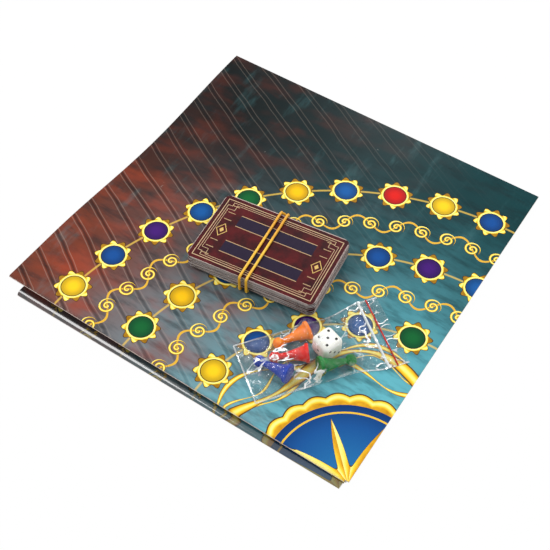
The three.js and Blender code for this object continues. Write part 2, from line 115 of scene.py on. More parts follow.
# %% Shader arithmetic
class Ink:
    """A socket in a material's node tree."""

    def __init__(self, tree, socket=None):
        self.tree = tree
        self.socket = socket

    def add(self, kind, inputs=None, out=0, stops=None, **settings):
        node = self.tree.nodes.new("ShaderNode" + kind)
        for key, value in settings.items():
            setattr(node, key, value)
        if stops:
            elements = node.color_ramp.elements
            while len(elements) < len(stops):
                elements.new(0.5)
            for element, (place, colour) in zip(elements, stops):
                element.position = place
                element.color = colour
        for key, value in (inputs or {}).items():
            if isinstance(value, Ink):
                self.tree.links.new(value.socket, node.inputs[key])
            else:
                node.inputs[key].default_value = value
        return Ink(self.tree, node.outputs[out])

    def math(self, operation, *values):
        return self.add("Math", dict(enumerate(values)), operation=operation)

    def __add__(self, other):
        return self.math("ADD", self, other)

    def __sub__(self, other):
        return self.math("SUBTRACT", self, other)

    def __rsub__(self, other):
        return self.math("SUBTRACT", other, self)

    def __mul__(self, other):
        return self.math("MULTIPLY", self, other)

    def __truediv__(self, other):
        return self.math("DIVIDE", self, other)

    def __pow__(self, other):
        return self.math("POWER", self, other)

    def __lt__(self, other):
        return self.math("LESS_THAN", self, other)

    def __gt__(self, other):
        return self.math("GREATER_THAN", self, other)

    __radd__ = __add__
    __rmul__ = __mul__

    def abs(self):
        return self.math("ABSOLUTE", self)

    def least(self, other):
        return self.math("MINIMUM", self, other)

    def most(self, other):
        return self.math("MAXIMUM", self, other)

    def sin(self):
        return self.math("SINE", self)

    def part(self):
        return self.math("FRACT", self)

    def whole(self):
        return self.math("FLOOR", self)

    def ease(self, low, high, start=0.0, end=1.0):
        inputs = {0: self, 1: low, 2: high, 3: start, 4: end}
        return self.add("MapRange", inputs, interpolation_type="SMOOTHSTEP")

    def over(self, below, colour):
        """Lays a colour over the one below, where this mask is 1."""
        return self.add("Mix", {0: self, 6: below, 7: colour}, out=2, data_type="RGBA")

    def ramp(self, *stops, interpolation="LINEAR"):
        node = self.add("ValToRGB", {0: self}, stops=stops)
        node.socket.node.color_ramp.interpolation = interpolation
        return node

    def noise(self, scale, detail=3.0, roughness=0.5, stretch=None, turn=0.0):
        place = self
        if stretch:
            place = self.add("Mapping", {0: self, 2: (0, 0, turn), 3: stretch})
        inputs = {0: place, "Scale": scale, "Detail": detail, "Roughness": roughness}
        return self.add("TexNoise", inputs)


print("shader arithmetic:", sum(callable(item) for item in vars(Ink).values()), "methods")

# %% [markdown]
# Every finish is one material: a Principled shader whose sockets are filled with a plain value or wired to a
# pattern. Colours are written here as a screen shows them, from 0 to 255, which is easy to compare with a
# picture, and turned into the linear light that Blender works in.


# %% Material helpers
def paint(red, green, blue):
    """A colour written as 0 to 255 on screen, as linear light."""
    screen = [level / 255 for level in (red, green, blue)]
    linear = [c / 12.92 if c <= 0.04045 else ((c + 0.055) / 1.055) ** 2.4 for c in screen]
    return (*linear, 1.0)


def start_material(name, **sockets):
    """A new material: its shader with the sockets that are the same all over, and a hand to draw with."""
    material = bpy.data.materials.new(name)
    material.use_nodes = True
    shader = material.node_tree.nodes["Principled BSDF"]
    for key, value in sockets.items():
        shader.inputs[key.replace("_", " ")].default_value = value
    return material, Ink(material.node_tree), shader


def wire(shader, **sockets):
    """Links a pattern to each socket named."""
    for key, value in sockets.items():
        shader.id_data.links.new(value.socket, shader.inputs[key.replace("_", " ")])


def bumped(height, strength, distance):
    """A surface normal that follows a pattern's height."""
    return height.add("Bump", {"Height": height, "Strength": strength, "Distance": distance})


def object_place(ink):
    """Where a point lies on its own object."""
    return ink.add("TexCoord", out=3)


print("half grey is %.3f in linear light" % paint(128, 128, 128)[0])

# %% [markdown]
# The board is printed on one sheet that runs over all four panels and round the creases, so its design is
# drawn once, in the coordinates of the unfolded sheet, and each printed piece carries a UV map named "sheet"
# that says where on the open board it lies, in metres from the board's centre. A picture could be wrapped
# round it, but a drawn pattern stays sharp at any size. Its ground is painted first: water blue at the middle
# of the open board, rust towards two of its sides, teal towards the other two and charcoal in the corners.
# Noise breaks up where the colours meet, and faint planks and brush strokes lie over them.

# %% Ground of the print
PLANK_WIDTH, PLANK_WANDER, PLANK_LEAN = 17 * MM, 9 * MM, 0.55
SHORE, SHORE_RISE, SHORE_BLUR = 60 * MM, 120 * MM, 12 * MM


def ground(place, across, along):
    """Four corner colours brushed together, with rust, haze and faint planks over them."""
    left = (across.abs() / (2 * HALF) + (place.noise(9, 4, 0.6) - 0.5) * 0.5).ease(0.0, 1.0)
    back = (along.abs() / (2 * HALF) + (place.noise(7, 4, 0.6, (1.4, 0.8, 1)) - 0.5) * 0.5).ease(0.0, 0.9)
    near = left.over(paint(104, 186, 200), paint(116, 56, 38))
    far = left.over(paint(6, 58, 62), paint(18, 16, 14))
    colour = back.over(near, far)
    strokes = place.noise(34, 5, 0.62, (1, 4, 1), 0.6)
    colour = strokes.ease(0.42, 0.72, 0, 0.6).over(colour, paint(8, 32, 36))
    haze = place.noise(26, 4, 0.6, (3.5, 1, 1), 0.5)
    colour = haze.ease(0.52, 0.8, 0, 0.3).over(colour, paint(84, 136, 140))
    ember = place.noise(16, 3, 0.55, (1.5, 3, 1), -0.4)
    colour = (ember.ease(0.44, 0.7, 0, 0.75) * left * (1 - back * 0.75)).over(colour, paint(156, 64, 40))
    slope = across * PLANK_LEAN + along + (place.noise(12, 3) - 0.5) * PLANK_WANDER
    plank = ((slope / PLANK_WIDTH).part() - 0.5).abs()
    colour = (plank.ease(0.03, 0.09, 0.6, 0) * left).over(colour, paint(18, 16, 16))
    colour = ((plank - 0.12).abs().ease(0, 0.03, 0.3, 0) * left).over(colour, paint(176, 160, 146))
    shore = SHORE + place.noise(14, 3, 0.5, (1, 0.05, 1)) * SHORE_RISE
    hills = (along.abs() - shore).ease(0, SHORE_BLUR, 0, 1)
    return (hills * (0.3 * left + 0.12)).over(colour, paint(16, 24, 26))


print("ground: planks every %.0f mm" % (PLANK_WIDTH / MM))

# %% [markdown]
# The track is made of round spaces with gold rims, on three rings about the board's centre. Each could be
# drawn by itself, but the ring's angle, cut into equal parts, repeats one space all the way round: inside
# each part the distance from its own middle draws the space, the rim and the petals of its edge. Printed gold
# is flat ink, so its shine is painted: dark at the edges and light along the middle.

# %% Round spaces
GOLD_STOPS = (
    (0.0, paint(150, 96, 20)),
    (0.25, paint(232, 172, 36)),
    (0.6, paint(255, 222, 66)),
    (1.0, paint(255, 244, 150)),
)
SPACE_COLOURS = (
    (0.0, paint(24, 88, 156)),
    (0.125, paint(246, 192, 20)),
    (0.25, paint(18, 96, 48)),
    (0.375, paint(24, 88, 156)),
    (0.5, paint(66, 26, 112)),
    (0.625, paint(20, 76, 146)),
    (0.75, paint(250, 204, 30)),
    (0.875, paint(214, 26, 20)),
)
TRACK_RINGS = ((104 * MM, 20), (158 * MM, 30), (212 * MM, 40))
SPACE_R, RIM_R, WISP, OUTLINE = 7.4 * MM, 9.3 * MM, 2.6 * MM, 0.5 * MM
TRAIL_HALF, TRAIL_BLUR = 0.7 * MM, 0.3 * MM


def gold(place, height):
    """Gold ink, shaded as if it stood proud: dark at its edges and light along its middle."""
    return (height * 0.75 + place.noise(160, 2) * 0.35).ramp(*GOLD_STOPS)


def track(place, colour, radius, angle, ring, count):
    """One ring of round spaces."""
    turn = angle * (count / (2 * math.pi))
    sideways = (turn.part() - 0.5) * (2 * math.pi * ring / count)
    outward = radius - ring
    reach = (sideways * sideways + outward * outward) ** 0.5
    bearing = outward.math("ARCTAN2", outward, sideways)
    petals = (bearing * 5).sin().abs()
    curl = ((bearing * 5 + reach * 900).sin() * 0.5 + 0.5) ** 3
    trail = (outward.abs() - TRAIL_HALF).ease(-TRAIL_BLUR, TRAIL_BLUR, 1, 0) * 0.6
    colour = trail.over(colour, paint(236, 196, 84))
    wisp = reach - petals * petals * WISP
    colour = (wisp < RIM_R + OUTLINE).over(colour, paint(66, 40, 14))
    colour = ((wisp < RIM_R) * curl.ease(0, 0.35, 0.5, 1)).over(colour, gold(place, curl))
    bevel = ((reach - (SPACE_R + RIM_R) / 2).abs() / (RIM_R - SPACE_R)).ease(0.1, 0.6, 1, 0.25)
    colour = (reach < RIM_R).over(colour, gold(place, bevel))
    colour = (reach < SPACE_R + OUTLINE).over(colour, paint(40, 26, 16))
    pick = (turn.whole() + 0.5) / len(SPACE_COLOURS) + ring * 23
    hue = pick.part().ramp(*SPACE_COLOURS, interpolation="CONSTANT")
    shade = (reach / SPACE_R).ease(0.2, 1.05, 0, 0.45)
    hue = shade.over(hue, paint(8, 12, 30))
    return (reach < SPACE_R).over(colour, hue)


print("spaces:", " + ".join(str(count) for _, count in TRACK_RINGS))

# %% [markdown]
# A compass fills the middle of the open board, so the folded panel shows a quarter of it: a scalloped gold
# rim, a blue field with a thin gold ring, and an eight-pointed star with one light and one dark side to each
# point. It could be laid on as thin shapes of its own, but it is ink, so it is drawn in the print from two
# numbers: the distance from the centre and the angle round it.

# %% Compass
COMPASS_R, SCALLOP, SCALLOPS = 50 * MM, 2.2 * MM, 12
STAR_WAIST, STAR_POINT, STAR_TAPER = 10 * MM, 30 * MM, 2.4
THIN_RING_R, THIN_RING_HALF = 43.5 * MM, 0.6 * MM
SEA_STOPS = ((0, paint(40, 120, 176)), (0.7, paint(24, 82, 148)), (1, paint(12, 48, 104)))


def compass(place, colour, radius, angle):
    """The compass at the board's centre, in blue and gold."""
    edge = radius - (angle * SCALLOPS).sin().abs() * SCALLOP
    colour = (edge < COMPASS_R + 4.4 * MM).over(colour, paint(86, 54, 16))
    band = ((edge - COMPASS_R - 1.6 * MM).abs() / (3 * MM)).ease(0, 0.9, 1, 0)
    colour = (edge < COMPASS_R + 3.6 * MM).over(colour, gold(place, band))
    colour = (radius < COMPASS_R - 1.5 * MM).over(colour, (radius / COMPASS_R).ramp(*SEA_STOPS))
    point = ((angle * (4 / math.pi)).part() - 0.5).abs() * 2
    star = radius - (STAR_WAIST + (point ** STAR_TAPER) * STAR_POINT)
    facet = (angle * (8 / math.pi)).part().ease(0, 1)
    colour = (star < 0.8 * MM).over(colour, paint(80, 50, 16))
    colour = (star < 0).over(colour, gold(place, facet))
    ring = ((radius - THIN_RING_R).abs() - THIN_RING_HALF) < 0
    return ring.over(colour, paint(238, 190, 60))


print("compass: %.0f mm across" % (2 * COMPASS_R / MM))

# %% [markdown]
# Gold ribbons wave between the compass and the first ring of spaces, and vines with curls run between the
# rings. Curve objects could draw them, but they would stand above the paper. In a shader a curve is a
# distance: a ribbon is the distance from a wave round the centre, and a curl is a spiral, whose distance
# grows by one pitch with each turn.

# %% Ribbons and vines
RIBBONS = (
    # middle radius in mm, number of waves, swing in mm, half width in mm, start of the waves
    (79, 10, 5, 0.7, 1.2),
    (84, 6, 7, 1.2, 2.6),
    (71, 6, 7, 1.2, 0.8),
    (77, 4, 9, 3.0, 0.0),
)
VINES = ((131 * MM, 24), (185 * MM, 34))
VINE_SWING, VINE_HALF, CURL_PITCH, CURL_R = 6 * MM, 0.8 * MM, 2.9 * MM, 5.4 * MM


def ribbon(place, colour, radius, angle):
    """The ribbons round the compass, thin ones first."""
    for middle, waves, swing, width, phase in RIBBONS:
        path = radius - (middle * MM + (angle * waves + phase).sin() * (swing * MM))
        swell = ((angle * (2 * waves) + phase + 1.0).sin() * 0.45 + 0.75) * (width * MM)
        across = path.abs() / swell
        colour = (across < 1.25).over(colour, paint(96, 60, 18))
        colour = (across < 1.0).over(colour, gold(place, across.ease(0, 1, 1, 0)))
    return colour


def vine(place, colour, radius, angle, ring, waves):
    """A waving stem on a ring, with a curl in each of its bends."""
    stem = (radius - (ring + (angle * waves).sin() * VINE_SWING)).abs()
    colour = (stem < VINE_HALF).over(colour, paint(226, 176, 60))
    sideways = ((angle * (waves / math.pi) + 0.5).part() - 0.5) * (math.pi * ring / waves)
    rise = radius - ring
    reach = (sideways * sideways + rise * rise) ** 0.5
    wind = reach / CURL_PITCH - rise.math("ARCTAN2", rise, sideways) / (2 * math.pi)
    coil = (wind.part() - 0.5).abs() * 2
    curl = reach < CURL_R
    colour = (curl * (coil < 0.62)).over(colour, paint(84, 54, 18))
    return (curl * (coil < 0.46)).over(colour, gold(place, coil.ease(0, 0.5, 1, 0.1)))


print(len(RIBBONS), "ribbons and", len(VINES), "vines")

# %% [markdown]
# The layers are now laid over each other and go under laminate. On the flat panels it shines softly. Where
# the lower fold rolls over, it is stretched and catches the lamp in a white line. One gloss could serve both,
# but then the panels would turn hazy, so the roll gets the same print under a harder gloss. Near the roll the
# print is painted darker as shade. The card whitens where it is creased sharply, and small scuffs lie over
# it all.


# %% Printed sheet
def board_print(name, **gloss):
    """The whole printed sheet, under laminate of the gloss given."""
    material, ink, shader = start_material(name, Specular_IOR_Level=0.06, **gloss)
    place = ink.add("UVMap", uv_map="sheet")
    across = ink.add("SeparateXYZ", {0: place}, out=0)
    along = ink.add("SeparateXYZ", {0: place}, out=1)
    radius = ink.add("VectorMath", {0: place}, out=1, operation="LENGTH")
    angle = ink.math("ARCTAN2", along, across) + math.pi
    colour = ground(place, across, along)
    colour = ribbon(place, colour, radius, angle)
    for ring, waves in VINES:
        colour = vine(place, colour, radius, angle, ring, waves)
    for ring, count in TRACK_RINGS:
        colour = track(place, colour, radius, angle, ring, count)
    colour = compass(place, colour, radius, angle)
    # the turn of the sheet is painted dark as its shade, and its very edge is rubbed pale
    painted_roll_shade = (across > 0) * along.abs().ease(5 * MM, 11 * MM, 0.78, 0)
    colour = painted_roll_shade.over(colour, paint(12, 38, 42))
    fray = place.noise(420, 3, 0.7)
    front = (along.abs() + (fray - 0.5) * (1.1 * MM)).ease(0.15 * MM, 0.75 * MM, 0.85, 0)
    colour = front.over(colour, paint(226, 206, 196))
    scuff = (place.noise(38, 6, 0.7) > 0.71) * 0.12
    colour = scuff.over(colour, paint(220, 214, 204))
    sheen = place.noise(30, 3).ease(0.3, 0.7, 0.26, 0.38)
    wire(shader, Base_Color=colour, Roughness=sheen + front * 0.35)
    wire(shader, Normal=bumped(place.noise(2600, 2), 0.06, 0.02 * MM))
    return material


PRINT_INK = board_print("board_print", Coat_Weight=0.06, Coat_Roughness=0.1)
CREASE_INK = board_print("crease_print", Coat_Weight=1.0, Coat_Roughness=0.12, Coat_IOR=1.7)
print("print:", len(PRINT_INK.node_tree.nodes), "nodes")

# %% [markdown]
# Behind the print lies grey board, and a white paper liner closes the back. Only their cut edges and the
# underside show them. Plain colours would do from afar; stretched noise gives the board its plies and fibres
# and the paper its faint clouds.

# %% Core and liner
CORE_STOPS = ((0.25, paint(150, 136, 116)), (0.5, paint(190, 178, 158)), (0.8, paint(214, 204, 188)))


def board_core():
    """Grey pressed board, in plies."""
    material, ink, shader = start_material("board_core")
    place = object_place(ink)
    fibre = place.noise(900, 4, 0.7, (1, 1, 6))
    ply = place.noise(300, 2, 0.5, (0.1, 0.1, 20))
    colour = (fibre * 0.6 + ply * 0.4).ramp(*CORE_STOPS)
    wire(shader, Base_Color=colour, Roughness=fibre.ease(0.2, 0.8, 0.8, 0.98))
    wire(shader, Normal=bumped(fibre, 0.3, 0.05 * MM))
    return material


def white_liner():
    """White paper with a few darker fibres."""
    material, ink, shader = start_material("white_liner")
    place = object_place(ink)
    fibre = place.noise(700, 5, 0.65)
    cloud = place.noise(30, 3)
    colour = cloud.ease(0.3, 0.7, 0, 0.5).over(paint(236, 233, 226), paint(224, 219, 208))
    colour = (fibre > 0.66).over(colour, paint(214, 208, 196))
    wire(shader, Base_Color=colour, Roughness=fibre.ease(0.2, 0.8, 0.6, 0.8))
    wire(shader, Normal=bumped(fibre, 0.15, 0.03 * MM))
    return material


CORE_BOARD, LINER_PAPER = board_core(), white_liner()
print("board materials:", CORE_BOARD.name, LINER_PAPER.name)

# %% [markdown]
# Every piece ends the same way: its bmesh becomes a mesh, gets its materials, rides on a body of the frame
# and hides the CAD nodes it stands for. Each piece could do that for itself, but one function keeps them
# alike. Most things here are sheets, so a second helper gives a flat grid its thickness.

# %% Finishing a piece
SHARP_ANGLE = math.radians(40)


def finish_piece(name, mesh_code, material, body, replaced=(), smooth=False):
    """Turns a bmesh into an object that rides on a body and hides the CAD nodes it stands for."""
    mesh = bpy.data.meshes.new(name)
    mesh_code.normal_update()
    mesh_code.to_mesh(mesh)
    mesh_code.free()
    piece = bpy.data.objects.new(name, mesh)
    bpy.context.scene.collection.objects.link(piece)
    for each in material if isinstance(material, list) else [material]:
        mesh.materials.append(each)
    if smooth:
        mesh.shade_smooth()
        mesh.set_sharp_from_angle(angle=SHARP_ANGLE)
    if body:
        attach(piece, body)
    if replaced:
        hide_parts(*replaced)
    return piece


def thicken(mesh_code, thickness):
    """Gives a flat grid a thickness above it, closed all round."""
    faces = list(mesh_code.faces)
    made = bmesh.ops.extrude_face_region(mesh_code, geom=faces, use_keep_orig=True)
    raised = [item for item in made["geom"] if isinstance(item, bmesh.types.BMVert)]
    bmesh.ops.translate(mesh_code, verts=raised, vec=(0, 0, thickness))
    bmesh.ops.reverse_faces(mesh_code, faces=faces)


print("helpers are ready")

# %% [markdown]
# Each panel is three glued sheets: print, grey core and white liner. One block per panel could carry all
# three colours, but the cut edges of a real board show the plies. A sheet is a grid with a thickness. On the
# upper pair the grid is fine enough to follow the left edge, which hangs down a little between its corners.
# The printed sheets get the UV map that places them on the open board.

# %% Sheets
FLAT_GRID, HANGING_GRID = 4, 80


def sag(from_left, from_front):
    """How far the left edge hangs at a place on the upper pair."""
    if from_left >= SAG_REACH or from_front <= SAG_START:
        return 0.0
    along = math.sin(math.pi * (from_front - SAG_START) / (2 * HALF - SAG_START)) ** 2
    return SAG_DEPTH * math.cos(math.pi / 2 * from_left / SAG_REACH) ** 2 * along


def sheet(name, plane, box, z, thickness, material, body, sheet_place=None, hanging=False):
    """One sheet of a panel: box is x0, x1, y0, y1 in its plane, z its lower face."""
    x0, x1, y0, y1 = box
    mesh_code = bmesh.new()
    count = HANGING_GRID if hanging else FLAT_GRID
    bmesh.ops.create_grid(mesh_code, x_segments=count, y_segments=count, size=0.5)
    layer = mesh_code.loops.layers.uv.new("sheet")
    for vert in mesh_code.verts:
        x = x0 + (x1 - x0) * (vert.co.x + 0.5)
        y = y0 + (y1 - y0) * (vert.co.y + 0.5)
        drop = sag(x - x0, y + HALF) if hanging else 0
        vert.co = (x, y, z - drop)
    thicken(mesh_code, thickness)
    if sheet_place:
        for face in mesh_code.faces:
            for loop in face.loops:
                loop[layer].uv = sheet_place(loop.vert.co.x, loop.vert.co.y)
    bmesh.ops.transform(mesh_code, matrix=plane, verts=mesh_code.verts)
    return finish_piece(name + "_sheet", mesh_code, material, body, [name], smooth=True)


print("grids: %d flat, %d hanging" % (FLAT_GRID, HANGING_GRID))

# %% [markdown]
# The four panels lie on three planes: the base on the table, the third panel on the tilted lower plane, and
# the second and top ones together on the upper plane. Base and second lie print down, third and top print up.
# One rule for the sheet's coordinates could not serve all four, since each fold mirrors them, so each panel
# says for itself where its points lie on the open board.


# %% Panels
def panel(title, plane, box, level, print_up, sheet_place, hanging=False):
    """The three sheets of one panel, from its lower face up."""
    body = title + "_panel"
    stack = [("liner", LINER_T, LINER_PAPER, "white_liner"), ("core", CORE_T, CORE_BOARD, "board_core")]
    stack.append(("print", PRINT_T, PRINT_INK, "printed_sheet"))
    z = level
    for kind, thickness, material, slot in stack if print_up else stack[::-1]:
        place = sheet_place if kind == "print" else None
        sheet(f"{body}_{kind}", plane, box, z, thickness, material, body, place, hanging)
        z += thickness + GLUE_GAP


LOWER_LEFT = LOWER_SHORT - HALF
UPPER_LEFT = FOLD_RECESS - 2 * HALF
FRONT = FOLD_R - HALF
FOLD_EDGE = -FOLD_R - EDGE_GAP
ROLL_REACH = 5 * MM
BASE_RIGHT = FOLD_TIP_X - FOLD_RECESS - SLIT_GAP
FLAT = Matrix.Identity(4)
panel("base", FLAT, (LOWER_LEFT, BASE_RIGHT, -HALF, HALF), 0, False,
      lambda x, y: (HALF - x, y + HALF + ROLL_REACH))
panel("third", LOWER_PLANE, (LOWER_LEFT - FOLD_TIP_X, FOLD_EDGE, -HALF, HALF), 0, True,
      lambda x, y: (-x, -(y + HALF + ROLL_REACH)))
panel("second", UPPER_PLANE, (UPPER_LEFT, FOLD_EDGE, FRONT, HALF), 0, False,
      lambda x, y: (x, -(y + HALF)), hanging=True)
panel("top", UPPER_PLANE, (UPPER_LEFT, FOLD_RECESS, FRONT, HALF), LEVEL, True,
      lambda x, y: (x - FOLD_RECESS, y + HALF), hanging=True)
print("four panels of three sheets")

# %% [markdown] A crease is the same sheet going round a bend.

# %% Crease strips
STEPS_ALONG, STEPS_ROUND = 60, 16


def crease(name, span, section, plane, sheet_place, material):
    """A strip along +X: section(share of the way round, 0 outer or 1 inner, x) gives y and z."""
    mesh_code = bmesh.new()
    bmesh.ops.create_grid(mesh_code, x_segments=STEPS_ALONG, y_segments=STEPS_ROUND, size=0.5)
    layer = mesh_code.loops.layers.uv.new("sheet")
    outer = list(mesh_code.verts)
    made = bmesh.ops.extrude_face_region(mesh_code, geom=list(mesh_code.faces), use_keep_orig=True)
    inner = [item for item in made["geom"] if isinstance(item, bmesh.types.BMVert)]
    for inside, verts in ((0, outer), (1, inner)):
        for vert in verts:
            x = span[0] + (span[1] - span[0]) * (vert.co.x + 0.5)
            share = vert.co.y + 0.5
            vert.co = (x, *section(share, inside, x))
    bmesh.ops.recalc_face_normals(mesh_code, faces=mesh_code.faces)
    inside_verts = set(inner)
    for face in mesh_code.faces:
        face.material_index = 1 if inside_verts.issuperset(face.verts) else 0
        for loop in face.loops:
            loop[layer].uv = sheet_place(loop.vert.co)
    bmesh.ops.transform(mesh_code, matrix=plane, verts=mesh_code.verts)
    piece = finish_piece(name + "_strip", mesh_code, material, None, [name], smooth=True)
    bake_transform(piece)
    return piece


print("strips of %d x %d faces" % (STEPS_ALONG, STEPS_ROUND))

# %% [markdown]
# The lower front crease is a loose roll that stands out from the edge. Its section is half an ellipse, which
# grows taller to the left, where the fold gapes. The upper front crease and the right one are tight half
# circles. The print runs round the two front creases. The right crease is bent the other way, so it shows
# the white liner.


# %% Creases
def roll_top(x):
    return LEVEL + PANEL_T + (FOLD_TIP_X - x) * math.sin(LOWER_TILT)


def roll_section(share, inside, x):
    angle = math.pi * (share - 0.5)
    middle = (roll_top(x) + ROLL_LIFT) / 2
    rise = middle - ROLL_LIFT - inside * CREASE_T
    out = ROLL_BULGE - inside * CREASE_T
    return -HALF - EDGE_GAP - out * math.cos(angle), middle + rise * math.sin(angle)


def tight_section(share, inside, x):
    angle = math.pi * (share - 0.5)
    radius = FOLD_R - inside * CREASE_T
    return FRONT - EDGE_GAP - radius * math.cos(angle), FOLD_R + radius * math.sin(angle)


def roll_sheet(point):
    middle = (roll_top(point.x) + ROLL_LIFT) / 2
    return HALF - point.x, -ROLL_REACH * (point.z - middle) / (middle - ROLL_LIFT)


def tight_sheet(point):
    return point.x - FOLD_RECESS, point.z - FOLD_R


crease("lower_front_crease", (LOWER_LEFT, BASE_RIGHT), roll_section, FLAT,
       roll_sheet, [CREASE_INK, LINER_PAPER])

crease("upper_front_crease", (UPPER_LEFT, FOLD_EDGE), tight_section, UPPER_PLANE,
       tight_sheet, [PRINT_INK, LINER_PAPER])

SIDE_TURN = Matrix.Translation((FOLD_TIP_X - FOLD_R, 0, LEVEL)) @ Matrix.Rotation(math.pi / 2, 4, "Z")
SIDE_TURN = SIDE_TURN @ Matrix.Translation((0, -FRONT + EDGE_GAP, 0))
crease("right_crease", (FRONT, HALF), tight_section, SIDE_TURN,
       tight_sheet, [LINER_PAPER, PRINT_INK])
print("three creases")

# %% [markdown]
# The backs of the cards are dark red, with pale gold frames that step in at the corners, two plain bars, and
# a diamond and short rungs at each end. A picture would do, but like the board's print they are drawn from
# distances, here from the middle of the card, which a UV map named "card" gives.

# %% Card back
CARD_LENGTH, CARD_WIDTH = 88 * MM, 56 * MM
CARD_FRAMES = (
    # inset, step at the corners, width
    (3 * MM, 0, 0.5 * MM),
    (4.6 * MM, 3 * MM, 0.35 * MM),
    (6 * MM, 4.6 * MM, 0.3 * MM),
)
BAR_PLACE, BAR_HALF_W, BAR_HALF_L = 11 * MM, 4.6 * MM, 27 * MM
DIAMOND_PLACE, DIAMOND_R, DIAMOND_HEART = 33.5 * MM, 3.6 * MM, 1.5 * MM
RUNG_PLACE, RUNG_HALF_L, RUNGS = 34 * MM, 2.6 * MM, (9 * MM, 15 * MM, 21 * MM)
LINE_HALF, DIAMOND_LINE_HALF = 0.25 * MM, 0.3 * MM


def frame_line(across, along, inset, step, width):
    """A line round the card at an inset, with stepped corners."""
    a = (CARD_LENGTH / 2 - inset) - across.abs()
    b = (CARD_WIDTH / 2 - inset) - along.abs()
    corner = (a - step).most(b - step)
    edge = a.least(b).least(corner)
    return edge.abs() < width / 2


def card_back():
    """The printed back, under thin varnish and rubbed pale round its rim."""
    varnish = {"Coat_Weight": 0.06, "Coat_Roughness": 0.14, "Specular_IOR_Level": 0.12}
    material, ink, shader = start_material("card_back", **varnish)
    place = ink.add("UVMap", uv_map="card")
    across = ink.add("SeparateXYZ", {0: place}, out=0)
    along = ink.add("SeparateXYZ", {0: place}, out=1)
    cloth = place.noise(90, 4, 0.6)
    colour = cloth.ease(0.3, 0.7).over(paint(44, 12, 16), paint(84, 18, 22))
    bar = (along.abs() - BAR_PLACE).abs()
    beside = across.abs() < BAR_HALF_L
    colour = ((bar < BAR_HALF_W) * beside).over(colour, paint(34, 24, 46))
    colour = (((bar - BAR_HALF_W).abs() < LINE_HALF) * beside).over(colour, paint(190, 158, 118))
    for inset, step, width in CARD_FRAMES:
        colour = frame_line(across, along, inset, step, width).over(colour, paint(204, 176, 138))
    diamond = (across.abs() - DIAMOND_PLACE).abs() + along.abs() * 0.7
    ring = (diamond - DIAMOND_R).abs() < DIAMOND_LINE_HALF
    colour = ring.most(diamond < DIAMOND_HEART).over(colour, paint(212, 176, 104))
    for reach in RUNGS:
        rung = ((along.abs() - reach).abs() < LINE_HALF) * ((across.abs() - RUNG_PLACE).abs() < RUNG_HALF_L)
        colour = rung.over(colour, paint(190, 158, 118))
    wear = place.noise(300, 4, 0.7)
    rim = (CARD_LENGTH / 2 - across.abs()).least(CARD_WIDTH / 2 - along.abs())
    colour = ((rim + wear * (0.5 * MM)) < 0.55 * MM).over(colour, paint(196, 176, 168))
    wire(shader, Base_Color=colour, Roughness=wear.ease(0.3, 0.7, 0.28, 0.42))
    wire(shader, Normal=bumped(wear, 0.05, 0.02 * MM))
    return material


CARD_INK = card_back()
print("card back:", len(CARD_INK.node_tree.nodes), "nodes")

# %% [markdown]
# The side of the deck shows cut paper, light and dark by turns: the dark layers are painted shade in the gaps
# between the cards. A stripe for each card could be painted, but noise that is stretched flat gives thin
# uneven layers by itself.


# %% Card paper
def card_stock():
    """The cut edge of the cards, with painted shade in the gaps between them."""
    material, ink, shader = start_material("card_stock")
    place = object_place(ink)
    fibre = place.noise(1500, 4, 0.7, (1, 1, 4))
    painted_gap_shade = place.noise(500, 1, 0.5, (0.02, 0.02, 6))
    # the dark layers are painted shade in the gaps between the cards
    colour = painted_gap_shade.ease(0.42, 0.58).over(paint(48, 44, 44), paint(176, 172, 170))
    colour = fibre.ease(0.5, 0.8, 0, 0.35).over(colour, paint(120, 112, 108))
    wire(shader, Base_Color=colour, Roughness=fibre.ease(0.2, 0.8, 0.55, 0.85))
    wire(shader, Normal=bumped(fibre, 0.2, 0.03 * MM))
    return material


CARD_PAPER = card_stock()
print("card paper:", CARD_PAPER.name)

# %% [markdown]
# Twenty-six cards lie in two packets, and the upper one gapes by under one degree. A card could be a cube
# made flat, but its corners are round, so it is a flat outline with bevelled corners, raised to its
# thickness, and its rims are cut off a little. A sine of the card's number shifts each one, so the stack is
# untidy in the same way each time.

# %% Cards
CARD_T, CARD_GAP, CARD_SHIFT = 0.36 * MM, 0.05 * MM, 0.45 * MM
CARD_CORNER_R, CARD_RIM = 4 * MM, 0.06 * MM
LONG_WANDER, SIDE_WANDER = 2.4, 1.7
LOWER_CARDS, UPPER_CARDS = 12, 14
BAND_D, BAND_CLEAR, REST_GAP = 1.7 * MM, 0.35 * MM, 0.3 * MM


def card():
    """A card in its own frame, lying from z = 0 up. Both of its faces carry the printed back."""
    mesh_code = bmesh.new()
    bmesh.ops.create_grid(mesh_code, x_segments=1, y_segments=1, size=0.5)
    bmesh.ops.scale(mesh_code, vec=(CARD_LENGTH, CARD_WIDTH, 1), verts=mesh_code.verts)
    bmesh.ops.bevel(mesh_code, geom=mesh_code.verts[:], offset=CARD_CORNER_R, offset_type="OFFSET",
                    affect="VERTICES", segments=10, profile=0.5, material=-1)
    thicken(mesh_code, CARD_T)
    rims = [edge for edge in mesh_code.edges if abs(edge.verts[0].co.z - edge.verts[1].co.z) < 1e-9]
    bmesh.ops.bevel(mesh_code, geom=rims, offset=CARD_RIM, affect="EDGES", segments=1, profile=0.5,
                    material=-1)
    layer = mesh_code.loops.layers.uv.new("card")
    mesh_code.normal_update()
    for face in mesh_code.faces:
        face.material_index = 0 if abs(face.normal.z) > 0.9 else 1
        for loop in face.loops:
            loop[layer].uv = loop.vert.co.xy
    return mesh_code


